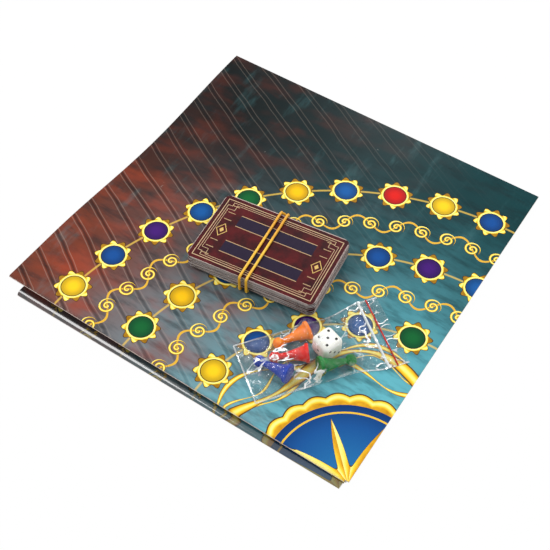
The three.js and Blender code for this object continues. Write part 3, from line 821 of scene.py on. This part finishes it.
CARD_PITCH = CARD_T + CARD_GAP
DECK_FLOOR = REST_GAP + BAND_D + BAND_CLEAR
PACKET_Z = DECK_FLOOR + LOWER_CARDS * CARD_PITCH
FAN = math.radians(0.8)
PACKET = DECK @ Matrix.Translation((-CARD_LENGTH / 2, 0, PACKET_Z)) @ Matrix.Rotation(-FAN, 4, "Y")
CARD_COUNT = LOWER_CARDS + UPPER_CARDS
for i in range(CARD_COUNT):
    upper = i >= LOWER_CARDS
    last = i == CARD_COUNT - 1
    x = (CARD_LENGTH / 2 if upper else 0) + (0 if last else CARD_SHIFT * math.sin(LONG_WANDER * i))
    z = (i - LOWER_CARDS) * CARD_PITCH if upper else DECK_FLOOR + i * CARD_PITCH
    node = f"card_{i + 1:02d}"
    mesh_code = card()
    y = CARD_SHIFT * math.sin(SIDE_WANDER * i)
    spot = (PACKET if upper else DECK) @ Matrix.Translation((x, y, z))
    bmesh.ops.transform(mesh_code, matrix=spot, verts=mesh_code.verts)
    body, slot = ("top_card", "card_back") if last else ("card_deck", "card_stock")
    finish_piece(node + "_cut", mesh_code, [CARD_INK, CARD_PAPER], body, [node])
print(CARD_COUNT, "cards")

# %% [markdown]
# The rubber band is one loop that goes round the deck twice and crosses itself on the far side. Two plain
# rings would be simpler, but a wound band is a single loop. Its middle line is a list of points: once round
# the deck, over to the other turn along the far wall, round again, and back over the first crossing, further
# out by the band's own thickness.

# %% Path of the band
BAND_X, BAND_PITCH, BAND_CORNER_R, BAND_CROSS_GAP = -3 * MM, 4.7 * MM, 1.9 * MM, 0.8 * MM


def ease(low, high, value):
    """Goes from 0 to 1 between low and high, gently at both ends."""
    share = min(max((value - low) / (high - low), 0), 1)
    return share * share * (3 - 2 * share)


def band_path():
    """The points of the loop, in the deck's frame."""
    radius = BAND_D / 2
    reach = BAND_CLEAR + radius
    fanned = (BAND_X + BAND_PITCH / 2 + radius + CARD_LENGTH / 2) * math.sin(FAN)
    bottom = DECK_FLOOR - reach
    top = PACKET_Z + UPPER_CARDS * CARD_PITCH - CARD_GAP + fanned + reach
    side = CARD_WIDTH / 2 + CARD_SHIFT + reach
    in_y, low, high = side - BAND_CORNER_R, bottom + BAND_CORNER_R, top - BAND_CORNER_R

    def corner(y, z, start):
        angles = [start + step * math.pi / 2 for step in (0, 0.5, 1)]
        return [(y + BAND_CORNER_R * math.cos(a), z + BAND_CORNER_R * math.sin(a)) for a in angles]

    def run(a, b, count):
        shares = [(i + 1) / (count + 1) for i in range(count)]
        return [(a[0] + (b[0] - a[0]) * s, a[1] + (b[1] - a[1]) * s) for s in shares]

    around = corner(in_y, high, 0) + run((in_y, top), (-in_y, top), 4) + corner(-in_y, high, math.pi / 2)
    around += run((-side, high), (-side, low), 2) + corner(-in_y, low, math.pi)
    around += run((-in_y, bottom), (in_y, bottom), 4) + corner(in_y, low, 3 * math.pi / 2)
    wall = run((side, low), (side, high), 5)
    points = []
    for turn in (0, 1):
        start = BAND_X + (BAND_PITCH / 2 if turn else -BAND_PITCH / 2)
        end = 2 * BAND_X - start
        points += [(start, y, z) for y, z in around]
        for i, (y, z) in enumerate(wall):
            share = (i + 1) / (len(wall) + 1)
            out = (BAND_D + BAND_CROSS_GAP) * math.sin(math.pi * share) if turn else 0
            points.append((start + (end - start) * ease(0, 1, share), y + out, z))
    return points


BAND_POINTS = band_path()
print("band path:", len(BAND_POINTS), "points")

# %% [markdown]
# A curve with a round bevel carries a section along those points and smooths between them, which is easier
# than joining rings of faces by hand. The curve is turned into a mesh before it is placed. Rubber is matt,
# and its surface has a pale bloom.

# %% Rubber band
MERGE_REACH = 1e-7


def band_rubber():
    """Amber rubber with a pale bloom."""
    material, ink, shader = start_material("band_rubber")
    place = object_place(ink)
    dust = place.noise(700, 4, 0.65)
    cloud = place.noise(60, 2)
    colour = cloud.ease(0.3, 0.7).over(paint(222, 158, 26), paint(240, 190, 52))
    colour = dust.ease(0.55, 0.8, 0, 0.3).over(colour, paint(250, 220, 130))
    wire(shader, Base_Color=colour, Roughness=dust.ease(0.3, 0.7, 0.38, 0.6))
    wire(shader, Normal=bumped(dust, 0.15, 0.04 * MM))
    return material


def curve_mesh(name, points, radius):
    """A closed round-section loop as a bmesh."""
    curve = bpy.data.curves.new(name, "CURVE")
    curve.dimensions = "3D"
    curve.bevel_depth = radius
    curve.bevel_resolution = 5
    line = curve.splines.new("BEZIER")
    line.bezier_points.add(len(points) - 1)
    for knot, point in zip(line.bezier_points, points):
        knot.co = point
        knot.handle_left_type = knot.handle_right_type = "AUTO"
    line.use_cyclic_u = True
    line.resolution_u = 8
    holder = bpy.data.objects.new(name, curve)
    bpy.context.scene.collection.objects.link(holder)
    bpy.context.view_layer.update()
    mesh_code = bmesh.new()
    mesh_code.from_mesh(holder.evaluated_get(bpy.context.evaluated_depsgraph_get()).to_mesh())
    bpy.data.objects.remove(holder)
    bmesh.ops.remove_doubles(mesh_code, verts=mesh_code.verts, dist=MERGE_REACH)
    bmesh.ops.recalc_face_normals(mesh_code, faces=mesh_code.faces)
    return mesh_code


mesh_code = curve_mesh("band_curve", BAND_POINTS, BAND_D / 2)
bmesh.ops.transform(mesh_code, matrix=DECK, verts=mesh_code.verts)
band = finish_piece("rubber_band_loop", mesh_code, band_rubber(), "rubber_band", ["rubber_band"],
                    smooth=True)
print("rubber band:", len(band.data.polygons), "faces")

# %% [markdown]
# The die, the pawns and the zip are moulded plastic. One flat colour would look like a drawing, so the colour
# deepens in soft streaks, as it does where plastic has flowed into a mould, and a fine grain dulls the gloss.


# %% Plastic
def plastic(name, base, deep, gloss=0.22):
    """Moulded plastic: deeper in cloudy streaks, with the grain of its mould."""
    shine = {"Coat_Weight": 0.1, "Coat_Roughness": 0.08, "Specular_IOR_Level": 0.15}
    material, ink, shader = start_material(name, **shine)
    place = object_place(ink)
    flow = place.noise(120, 3, 0.6, (1, 1, 2))
    grain = place.noise(1200, 3, 0.6)
    colour = flow.ease(0.35, 0.7).over(base, deep)
    wire(shader, Base_Color=colour, Roughness=grain.ease(0.3, 0.7, gloss, gloss + 0.12))
    wire(shader, Normal=bumped(grain, 0.08, 0.02 * MM))
    return material


IVORY = plastic("die_ivory", paint(252, 250, 245), paint(244, 241, 232))
PIP_BLACK = plastic("pip_black", paint(22, 20, 20), paint(34, 30, 30), 0.35)
print("plastics for the die:", IVORY.name, PIP_BLACK.name)

# %% [markdown]
# The die is a cube with well-rounded edges. Its pips are shallow round dents filled with black. They could be
# painted on, but dents catch the light, so balls are cut out of the cube with a Boolean, and the cut faces
# take the black of the balls.

# %% Die
FILM_T, FILM_GAP = 0.15 * MM, 0.15 * MM
CONTENT_Z = FILM_GAP + FILM_T + REST_GAP
DIE_SIDE, DIE_ROUND, PIP_R, PIP_DEPTH, PIP_SPREAD = 14 * MM, 2.8 * MM, 0.9 * MM, 0.4 * MM, 3.6 * MM
DIE_X, DIE_Y, DIE_TURN = 52 * MM, -1 * MM, math.radians(-71.9)
QUARTER = math.pi / 2
PIP_FACES = (
    # pips, turn about x, turn about y
    (5, 0, 0),
    (2, math.pi, 0),
    (1, QUARTER, 0),
    (6, -QUARTER, 0),
    (3, 0, QUARTER),
    (4, 0, -QUARTER),
)


def pip_places(count):
    """The pips of one face, in steps from its middle."""
    places = [(0, 0)] if count % 2 else []
    for most, spots in ((1, ((1, 1), (-1, -1))), (3, ((1, -1), (-1, 1))), (5, ((1, 0), (-1, 0)))):
        if count > most:
            places += spots
    return places


def cut_die():
    """The rounded cube with its pips cut, about its own middle."""
    mesh_code = bmesh.new()
    bmesh.ops.create_cube(mesh_code, size=DIE_SIDE)
    bmesh.ops.bevel(mesh_code, geom=mesh_code.edges[:], offset=DIE_ROUND, affect="EDGES", segments=8,
                    profile=0.5, material=-1)
    body = finish_piece("die_body", mesh_code, [IVORY, PIP_BLACK], None)
    ball_r = (PIP_R * PIP_R + PIP_DEPTH * PIP_DEPTH) / (2 * PIP_DEPTH)
    ball_z = DIE_SIDE / 2 - PIP_DEPTH + ball_r
    cutter_code = bmesh.new()
    for count, turn_x, turn_y in PIP_FACES:
        face_turn = Matrix.Rotation(turn_y, 4, "Y") @ Matrix.Rotation(turn_x, 4, "X")
        for a, b in pip_places(count):
            made = bmesh.ops.create_uvsphere(cutter_code, u_segments=32, v_segments=32, radius=ball_r)
            spot = face_turn @ Matrix.Translation((a * PIP_SPREAD, b * PIP_SPREAD, ball_z))
            bmesh.ops.transform(cutter_code, matrix=spot, verts=made["verts"])
    for face in cutter_code.faces:
        face.material_index = 1
    cutter = finish_piece("die_cutter", cutter_code, [IVORY, PIP_BLACK], None)
    cut = body.modifiers.new("pips", "BOOLEAN")
    cut.object = cutter
    cut.solver = "EXACT"
    cut.operation = "DIFFERENCE"
    bpy.context.view_layer.update()
    mesh_code = bmesh.new()
    mesh_code.from_mesh(body.evaluated_get(bpy.context.evaluated_depsgraph_get()).to_mesh())
    bpy.data.objects.remove(body)
    bpy.data.objects.remove(cutter)
    return mesh_code


mesh_code = cut_die()
DIE = BAG @ Matrix.Translation((DIE_X, DIE_Y, CONTENT_Z + DIE_SIDE / 2)) @ Matrix.Rotation(DIE_TURN, 4, "Z")
bmesh.ops.transform(mesh_code, matrix=DIE, verts=mesh_code.verts)
die = finish_piece("die_cube", mesh_code, [IVORY, PIP_BLACK], "die", ["die"], smooth=True)
print("die:", len(die.data.polygons), "faces")

# %% [markdown]
# A pawn is a turned shape. It could be built up from a cone and a ball, but one outline spun round its axis
# has no seams. Moulded plastic keeps its edges a little soft, so the outline is rounded at the rim. The pawn
# lies on its side, on the rim of its base and its head.

# %% Pawns
PAWN_LENGTH, PAWN_BASE_R, PAWN_RIM_T = 24 * MM, 6 * MM, 2 * MM
PAWN_NECK_R, PAWN_HEAD_R, PAWN_SOFT = 1.9 * MM, 3.6 * MM, 0.5 * MM
PAWN_LEDGE, PAWN_RISE, PAWN_FLARE = 1 * MM, 0.8 * MM, 1.5
RIM_STEPS, SKIRT_STEPS, HEAD_STEPS, SPIN_STEPS = 5, 12, 16, 48
PAWNS = (
    # name, x and y in the bag in mm, heading in degrees, colour, colour of its streaks
    ("pawn_orange", 46, 12.6, 184, (255, 148, 0), (252, 122, 0)),
    ("pawn_red", 40, -2.5, 165, (236, 28, 14), (210, 14, 10)),
    ("pawn_blue", 24, -12.3, 130, (8, 60, 176), (4, 40, 140)),
    ("pawn_green", 42, -12.9, -3, (0, 128, 46), (0, 98, 32)),
)


def pawn_outline():
    """Radius and height from the foot to the crown."""
    neck = math.asin(PAWN_NECK_R / PAWN_HEAD_R)
    head_z = PAWN_LENGTH - PAWN_HEAD_R
    sole_r = PAWN_BASE_R - PAWN_SOFT
    outline = [(0, 0), (sole_r, 0)]
    for step in range(1, RIM_STEPS + 1):
        angle = -math.pi / 2 + step / RIM_STEPS * math.pi / 2
        outline.append((sole_r + PAWN_SOFT * math.cos(angle), PAWN_SOFT + PAWN_SOFT * math.sin(angle)))
    outline.append((PAWN_BASE_R, PAWN_RIM_T))
    outline.append((PAWN_BASE_R - PAWN_LEDGE, PAWN_RIM_T + PAWN_RISE))
    foot, waist = outline[-1], (PAWN_NECK_R, head_z - PAWN_HEAD_R * math.cos(neck))
    for step in range(1, SKIRT_STEPS + 1):
        share = step / SKIRT_STEPS
        z = foot[1] + (waist[1] - foot[1]) * share
        outline.append((waist[0] + (foot[0] - waist[0]) * (1 - share) ** PAWN_FLARE, z))
    for step in range(1, HEAD_STEPS + 1):
        angle = neck + (math.pi - neck) * step / HEAD_STEPS
        outline.append((max(PAWN_HEAD_R * math.sin(angle), 0), head_z - PAWN_HEAD_R * math.cos(angle)))
    return outline


def pawn(name, x, y, heading, base, deep):
    """One pawn, spun upright and then laid down in the bag."""
    mesh_code = bmesh.new()
    verts = [mesh_code.verts.new((r, 0, z)) for r, z in pawn_outline()]
    edges = [mesh_code.edges.new(pair) for pair in zip(verts, verts[1:])]
    bmesh.ops.spin(mesh_code, geom=verts + edges, cent=(0, 0, 0), axis=(0, 0, 1), angle=2 * math.pi,
                   steps=SPIN_STEPS, use_merge=True)
    bmesh.ops.remove_doubles(mesh_code, verts=mesh_code.verts, dist=MERGE_REACH)
    bmesh.ops.recalc_face_normals(mesh_code, faces=mesh_code.faces)
    lean = math.asin((PAWN_BASE_R - PAWN_HEAD_R) / (PAWN_LENGTH - PAWN_HEAD_R))
    spot = BAG @ Matrix.Translation((x * MM, y * MM, CONTENT_Z + PAWN_BASE_R))
    spot = spot @ Matrix.Rotation(math.radians(heading), 4, "Z")
    spot = spot @ Matrix.Rotation(lean, 4, "Y") @ Matrix.Rotation(math.pi / 2, 4, "Y")
    bmesh.ops.transform(mesh_code, matrix=spot, verts=mesh_code.verts)
    colour = plastic(name, paint(*base), paint(*deep))
    return finish_piece(name + "_turned", mesh_code, colour, name, [name], smooth=True)


pawns = [pawn(*values) for values in PAWNS]
print(len(pawns), "pawns")

# %% [markdown]
# The bag is thin clear film that is drawn tight over the pieces in it. Cloth physics could drape it, but it
# would fall in another way after every small change. Here rays from above find how high the pieces reach
# under each point of a grid. Then each point takes the mean height of its neighbours, again and again, and
# never sinks into a piece: that draws the grid tight, as film is. The welded edges stay flat.

# %% Film over the pieces
BAG_LENGTH, BAG_HALF_W, MOUTH_HALF_W = 96 * MM, 21 * MM, 25 * MM
ZIP_X = BAG_LENGTH - 13 * MM
RED_X = BAG_LENGTH - 7.6 * MM
FILM_COLUMNS, FILM_ROWS = 150, 72
FLAT_Z = FILM_GAP + FILM_T + FILM_GAP
FILM_LIFT, FILM_PASSES, FILM_SPREAD = 0.35 * MM, 260, 2
FLARE_START, RAY_TOP = 60.5 * MM, 100 * MM
PLAY = (6, 2, 1, 1, -0.8)  # how far the die and each pawn can slide, in mm


def bag_half_width(x):
    """The bag widens to its mouth."""
    return BAG_HALF_W + (MOUTH_HALF_W - BAG_HALF_W) * ease(FLARE_START, ZIP_X, x)


def heights_under():
    """How high the pieces reach under each point of the film, wherever their play in the bag takes them."""
    flat = BAG.inverted()
    heights = np.full((FILM_COLUMNS + 1, FILM_ROWS + 1), FLAT_Z)
    for piece, play in zip([die] + pawns, PLAY):
        verts = [flat @ v.co for v in piece.data.vertices]
        tree = BVHTree.FromPolygons(verts, [p.vertices[:] for p in piece.data.polygons])
        for i in range(FILM_COLUMNS + 1):
            x = BAG_LENGTH * i / FILM_COLUMNS
            for j in range(FILM_ROWS + 1):
                y = (2 * j / FILM_ROWS - 1) * bag_half_width(x)
                for share in (0, 0.5, 1):
                    start = Vector((x - share * play * MM, y, RAY_TOP))
                    hit = tree.ray_cast(start, Vector((0, 0, -1)))[0]
                    if hit:
                        heights[i, j] = max(heights[i, j], hit.z + FILM_LIFT)
    for _ in range(FILM_SPREAD):
        spread = heights.copy()
        for axis in (0, 1):
            spread = np.maximum(spread, np.maximum(np.roll(heights, 1, axis), np.roll(heights, -1, axis)))
        heights = spread
    heights[[0, -1]] = heights[:, [0, -1]] = FLAT_Z
    return heights


def drawn_film(floor):
    """Draws the grid tight over the heights; its rim stays where it is."""
    film = floor.copy()
    for _ in range(FILM_PASSES):
        mean = (film[:-2, 1:-1] + film[2:, 1:-1] + film[1:-1, :-2] + film[1:-1, 2:]) / 4
        film[1:-1, 1:-1] = np.maximum(mean, floor[1:-1, 1:-1])
    return film


film_heights = drawn_film(heights_under())
print("film stands %.1f mm at its highest" % (film_heights.max() / MM))

# %% [markdown]
# What the eye sees of clear film is its glints. A glass shader would bend the light as a thick block does, so
# the film is a mix instead: mostly transparent, and mirror-like along fine folds, at the weld and where it
# turns away from the eye. The folds are the thin lines where a noise crosses its middle value.


# %% Clear film
def clear_film():
    """Transparent film that shines at its folds and edges."""
    material, ink, shader = start_material("clear_film", Base_Color=paint(250, 252, 252), Metallic=1.0)
    place = object_place(ink)
    flat_place = ink.add("UVMap", uv_map="bag")
    from_foot = ink.add("SeparateXYZ", {0: flat_place}, out=0)
    from_side = ink.add("SeparateXYZ", {0: flat_place}, out=1)
    haze = place.noise(150, 4, 0.6)
    streak = place.noise(260, 3, 0.6, (1, 4, 1), 0.5)
    weld = from_side.least(from_foot).ease(0.5 * MM, 1.1 * MM, 0.2, 0)
    fold = (flat_place.noise(70, 2, 0.5, (1, 1.6, 1), 0.7) - 0.5).abs().ease(0.006, 0.024, 1, 0)
    fold = fold * flat_place.noise(45, 2).ease(0.47, 0.6, 0, 0.85)
    facing = ink.add("LayerWeight", {"Blend": 0.25}, out=1)
    share = facing * 0.12 + haze.ease(0.5, 0.85, 0.01, 0.03) + weld + fold
    wire(shader, Roughness=haze.ease(0.3, 0.7, 0.08, 0.13) + fold * 0.45)
    wire(shader, Normal=bumped(streak, 0.35, 0.5 * MM))
    clear = ink.add("BsdfTransparent", {"Color": (0.985, 0.99, 0.99, 1)})
    mixed = ink.add("MixShader", {0: share, 1: clear, 2: Ink(ink.tree, shader.outputs[0])})
    ink.tree.links.new(mixed.socket, ink.tree.nodes["Material Output"].inputs["Surface"])
    return material


FILM_CLEAR = clear_film()
print("film:", len(FILM_CLEAR.node_tree.nodes), "nodes")

# %% [markdown]
# The bag is two films on one outline. The back lies flat on the board. The front is the drawn grid with small
# crumples added: sharp crests of a few crossing waves, which could be sculpted but are steadier as maths.
# They fade out at the weld and calm down at the zip, which lifts the film in a low ridge.

# %% Bag
FILM_SKIN = 0.06 * MM
FOLDS = (
    # wave along x and y, its wander, the wander's own wave along x and y, its start, height in mm, sharpness
    (410, 230, 2.2, 0, 150, 1.0, 1.2, 4),
    (-300, 520, 1.8, 210, 0, 0.5, 1.1, 4),
    (690, 610, 2.6, 330, -260, 0.0, 0.9, 5),
)
FREE_RIM, FREE_FOOT = (0.02, 0.16), 6 * MM
RIDGE_HEIGHT, RIDGE_SIDE = 1 * MM, (1.4 * MM, 2.6 * MM)
CALM, CALM_FROM, CALM_TO = 0.85, 76 * MM, 80 * MM


def crumple(x, y):
    """How high the small folds stand at a place on the film."""
    height = 0
    for wave_x, wave_y, wander, turn_x, turn_y, start, rise, sharp in FOLDS:
        wave = math.sin(wave_x * x + wave_y * y + wander * math.sin(turn_x * x + turn_y * y + start))
        height += rise * max(wave, 0) ** sharp
    return height * MM


def film_sheet(height_at):
    """A grid over the bag's outline, raised to the heights given for column i and row j."""
    mesh_code = bmesh.new()
    bmesh.ops.create_grid(mesh_code, x_segments=FILM_COLUMNS, y_segments=FILM_ROWS, size=0.5)
    for vert in mesh_code.verts:
        i, j = round((vert.co.x + 0.5) * FILM_COLUMNS), round((vert.co.y + 0.5) * FILM_ROWS)
        x = BAG_LENGTH * i / FILM_COLUMNS
        y = (2 * j / FILM_ROWS - 1) * bag_half_width(x)
        vert.co = (x, y, height_at(i, j, x, y))
    layer = mesh_code.loops.layers.uv.new("bag")
    for face in mesh_code.faces:
        for loop in face.loops:
            x, y, _ = loop.vert.co
            loop[layer].uv = (x, bag_half_width(x) - abs(y))
    return mesh_code


def front_height(i, j, x, y):
    """The front film: drawn tight, crumpled, and raised by the zip."""
    rim = 1 - abs(2 * j / FILM_ROWS - 1)
    free = ease(*FREE_RIM, rim) * ease(0, FREE_FOOT, x)
    ridge = RIDGE_HEIGHT * (1 - ease(*RIDGE_SIDE, abs(x - ZIP_X)))
    calm = 1 - CALM * ease(CALM_FROM, CALM_TO, x)
    return film_heights[i, j] + crumple(x, y) * free * calm + ridge


def back_height(i, j, x, y):
    return FILM_GAP


for name, height in (("front_film", front_height), ("back_film", back_height)):
    mesh_code = film_sheet(height)
    thicken(mesh_code, FILM_SKIN)
    bmesh.ops.transform(mesh_code, matrix=BAG, verts=mesh_code.verts)
    finish_piece(name, mesh_code, FILM_CLEAR, "game_bag", ["bag_" + name], smooth=True)
print("two films of %d x %d faces" % (FILM_COLUMNS, FILM_ROWS))

# %% [markdown]
# The zip is two ribs that press together, in milky plastic, with a red line printed on the film above it. The
# grooves of a real zip are too fine to see here, so each rib is a bar with rounded edges, and the printed
# line is a very thin bar.

# %% Zip
RIB_T, LOWER_RIB_W, UPPER_RIB_W = 0.4 * MM, 1.6 * MM, 0.9 * MM
LINE_T, LINE_W, LINE_LIFT = 0.2 * MM, 0.9 * MM, 0.35 * MM
STRIP_ROUND = 0.35


def strip(name, x, width, z, thickness, material, node):
    """A bar across the bag, with its edges rounded by a share of its smaller side."""
    mesh_code = bmesh.new()
    bmesh.ops.create_cube(mesh_code, size=1)
    half = bag_half_width(x - width) - EDGE_GAP
    bmesh.ops.scale(mesh_code, vec=(width, 2 * half, thickness), verts=mesh_code.verts)
    bmesh.ops.bevel(mesh_code, geom=mesh_code.edges[:], offset=min(width, thickness) * STRIP_ROUND,
                    affect="EDGES", segments=3, profile=0.5, material=-1)
    spot = BAG @ Matrix.Translation((x, 0, z + thickness / 2))
    bmesh.ops.transform(mesh_code, matrix=spot, verts=mesh_code.verts)
    return finish_piece(name, mesh_code, material, "game_bag", [node], smooth=True)


RIB_LOW = FILM_GAP + FILM_T + EDGE_GAP
MILKY = plastic("zip_milky", paint(232, 236, 236), paint(214, 220, 222), 0.2)
RED_PRINT = plastic("zip_red", paint(190, 44, 32), paint(168, 32, 26), 0.3)
RIB_HIGH = RIB_LOW + RIB_T + EDGE_GAP
strip("zip_lower", ZIP_X, LOWER_RIB_W, RIB_LOW, RIB_T, MILKY, "zip_rib_lower")
strip("zip_upper", ZIP_X, UPPER_RIB_W, RIB_HIGH, RIB_T, MILKY, "zip_rib_upper")
strip("zip_line", RED_X, LINE_W, FLAT_Z + LINE_LIFT, LINE_T, RED_PRINT, "zip_red_line")
print("zip at %.0f mm, red line at %.1f mm" % (ZIP_X / MM, RED_X / MM))

# %% [markdown]
# The floor is one wide plane. It could be lit until it turns white, but that would wash out the board. So it
# glows white to the camera, in mirrors and through clear film, and is pale paint to all other light. A trace
# of the paint is left, which takes a faint shadow.

# %% Floor
FLOOR_SIDE, FLOOR_DROP, FLOOR_GLOW = 6.0, 0.02 * MM, 0.985


def seen_by_camera(ink):
    """1 for light that runs to the camera: straight, off a gloss or through something clear."""
    seen = ink.add("LightPath")
    rays = seen.socket.node.outputs
    for kind in ("Is Glossy Ray", "Is Transmission Ray"):
        seen = seen.most(Ink(ink.tree, rays[kind]))
    return seen


def white_stage():
    """The floor's glow and paint."""
    material, ink, shader = start_material("white_stage", Base_Color=(0.9, 0.9, 0.9, 1), Roughness=0.9)
    seen = seen_by_camera(ink)
    glow = ink.add("Emission", {"Color": (1, 1, 1, 1), "Strength": 1.0})
    mixed = ink.add("MixShader", {0: seen * FLOOR_GLOW, 1: Ink(ink.tree, shader.outputs[0]), 2: glow})
    ink.tree.links.new(mixed.socket, ink.tree.nodes["Material Output"].inputs["Surface"])
    return material


mesh_code = bmesh.new()
bmesh.ops.create_grid(mesh_code, x_segments=1, y_segments=1, size=FLOOR_SIDE / 2)
bmesh.ops.translate(mesh_code, verts=mesh_code.verts, vec=(0, 0, -FLOOR_DROP))
floor = finish_piece("floor", mesh_code, white_stage(), None)
print("floor: %.0f m wide" % FLOOR_SIDE)

# %% [markdown]
# The world is white behind the object and lights it softly from all round. One strong lamp would give hard
# shadows, so a large key and a large fill do most of the work, and small and narrow lamps put glints on the
# film and the laminate. Every lamp is aimed at the middle of the board.

# %% World and lamps
WORLD_LIGHT = 0.46
world = bpy.data.worlds.new("studio")
bpy.context.scene.world = world
world.use_nodes = True
sky = world.node_tree.nodes["Background"]
sky_strength = WORLD_LIGHT + seen_by_camera(Ink(world.node_tree)) * (1 - WORLD_LIGHT)
world.node_tree.links.new(sky_strength.socket, sky.inputs["Strength"])
sky.inputs["Color"].default_value = (1, 1, 1, 1)

LAMPS = (
    # name, place, width and height, power
    ("key", (-0.55, -0.35, 0.95), (0.45, 0.45), 5.4),
    ("fill", (0.80, 0.10, 0.75), (0.60, 0.60), 2.2),
    ("glint", (-0.25, 0.85, 0.60), (0.09, 0.09), 2.4),
    ("spark", (0.30, 0.55, 0.80), (0.05, 0.05), 1.2),
    ("left_strip", (-0.75, 0.35, 0.50), (0.03, 0.60), 1.6),
    ("right_strip", (0.40, 0.80, 0.45), (0.03, 0.60), 1.6),
)
for lamp_name, lamp_place, (lamp_width, lamp_height), lamp_power in LAMPS:
    light = bpy.data.lights.new(lamp_name, "AREA")
    light.shape = "RECTANGLE"
    light.size, light.size_y = lamp_width, lamp_height
    light.energy = lamp_power
    lamp = bpy.data.objects.new(lamp_name, light)
    lamp.location = lamp_place
    lamp.rotation_euler = (-Vector(lamp_place)).to_track_quat("-Z", "Y").to_euler()
    bpy.context.scene.collection.objects.link(lamp)
print("world and", len(LAMPS), "lamps")

# %% [markdown]
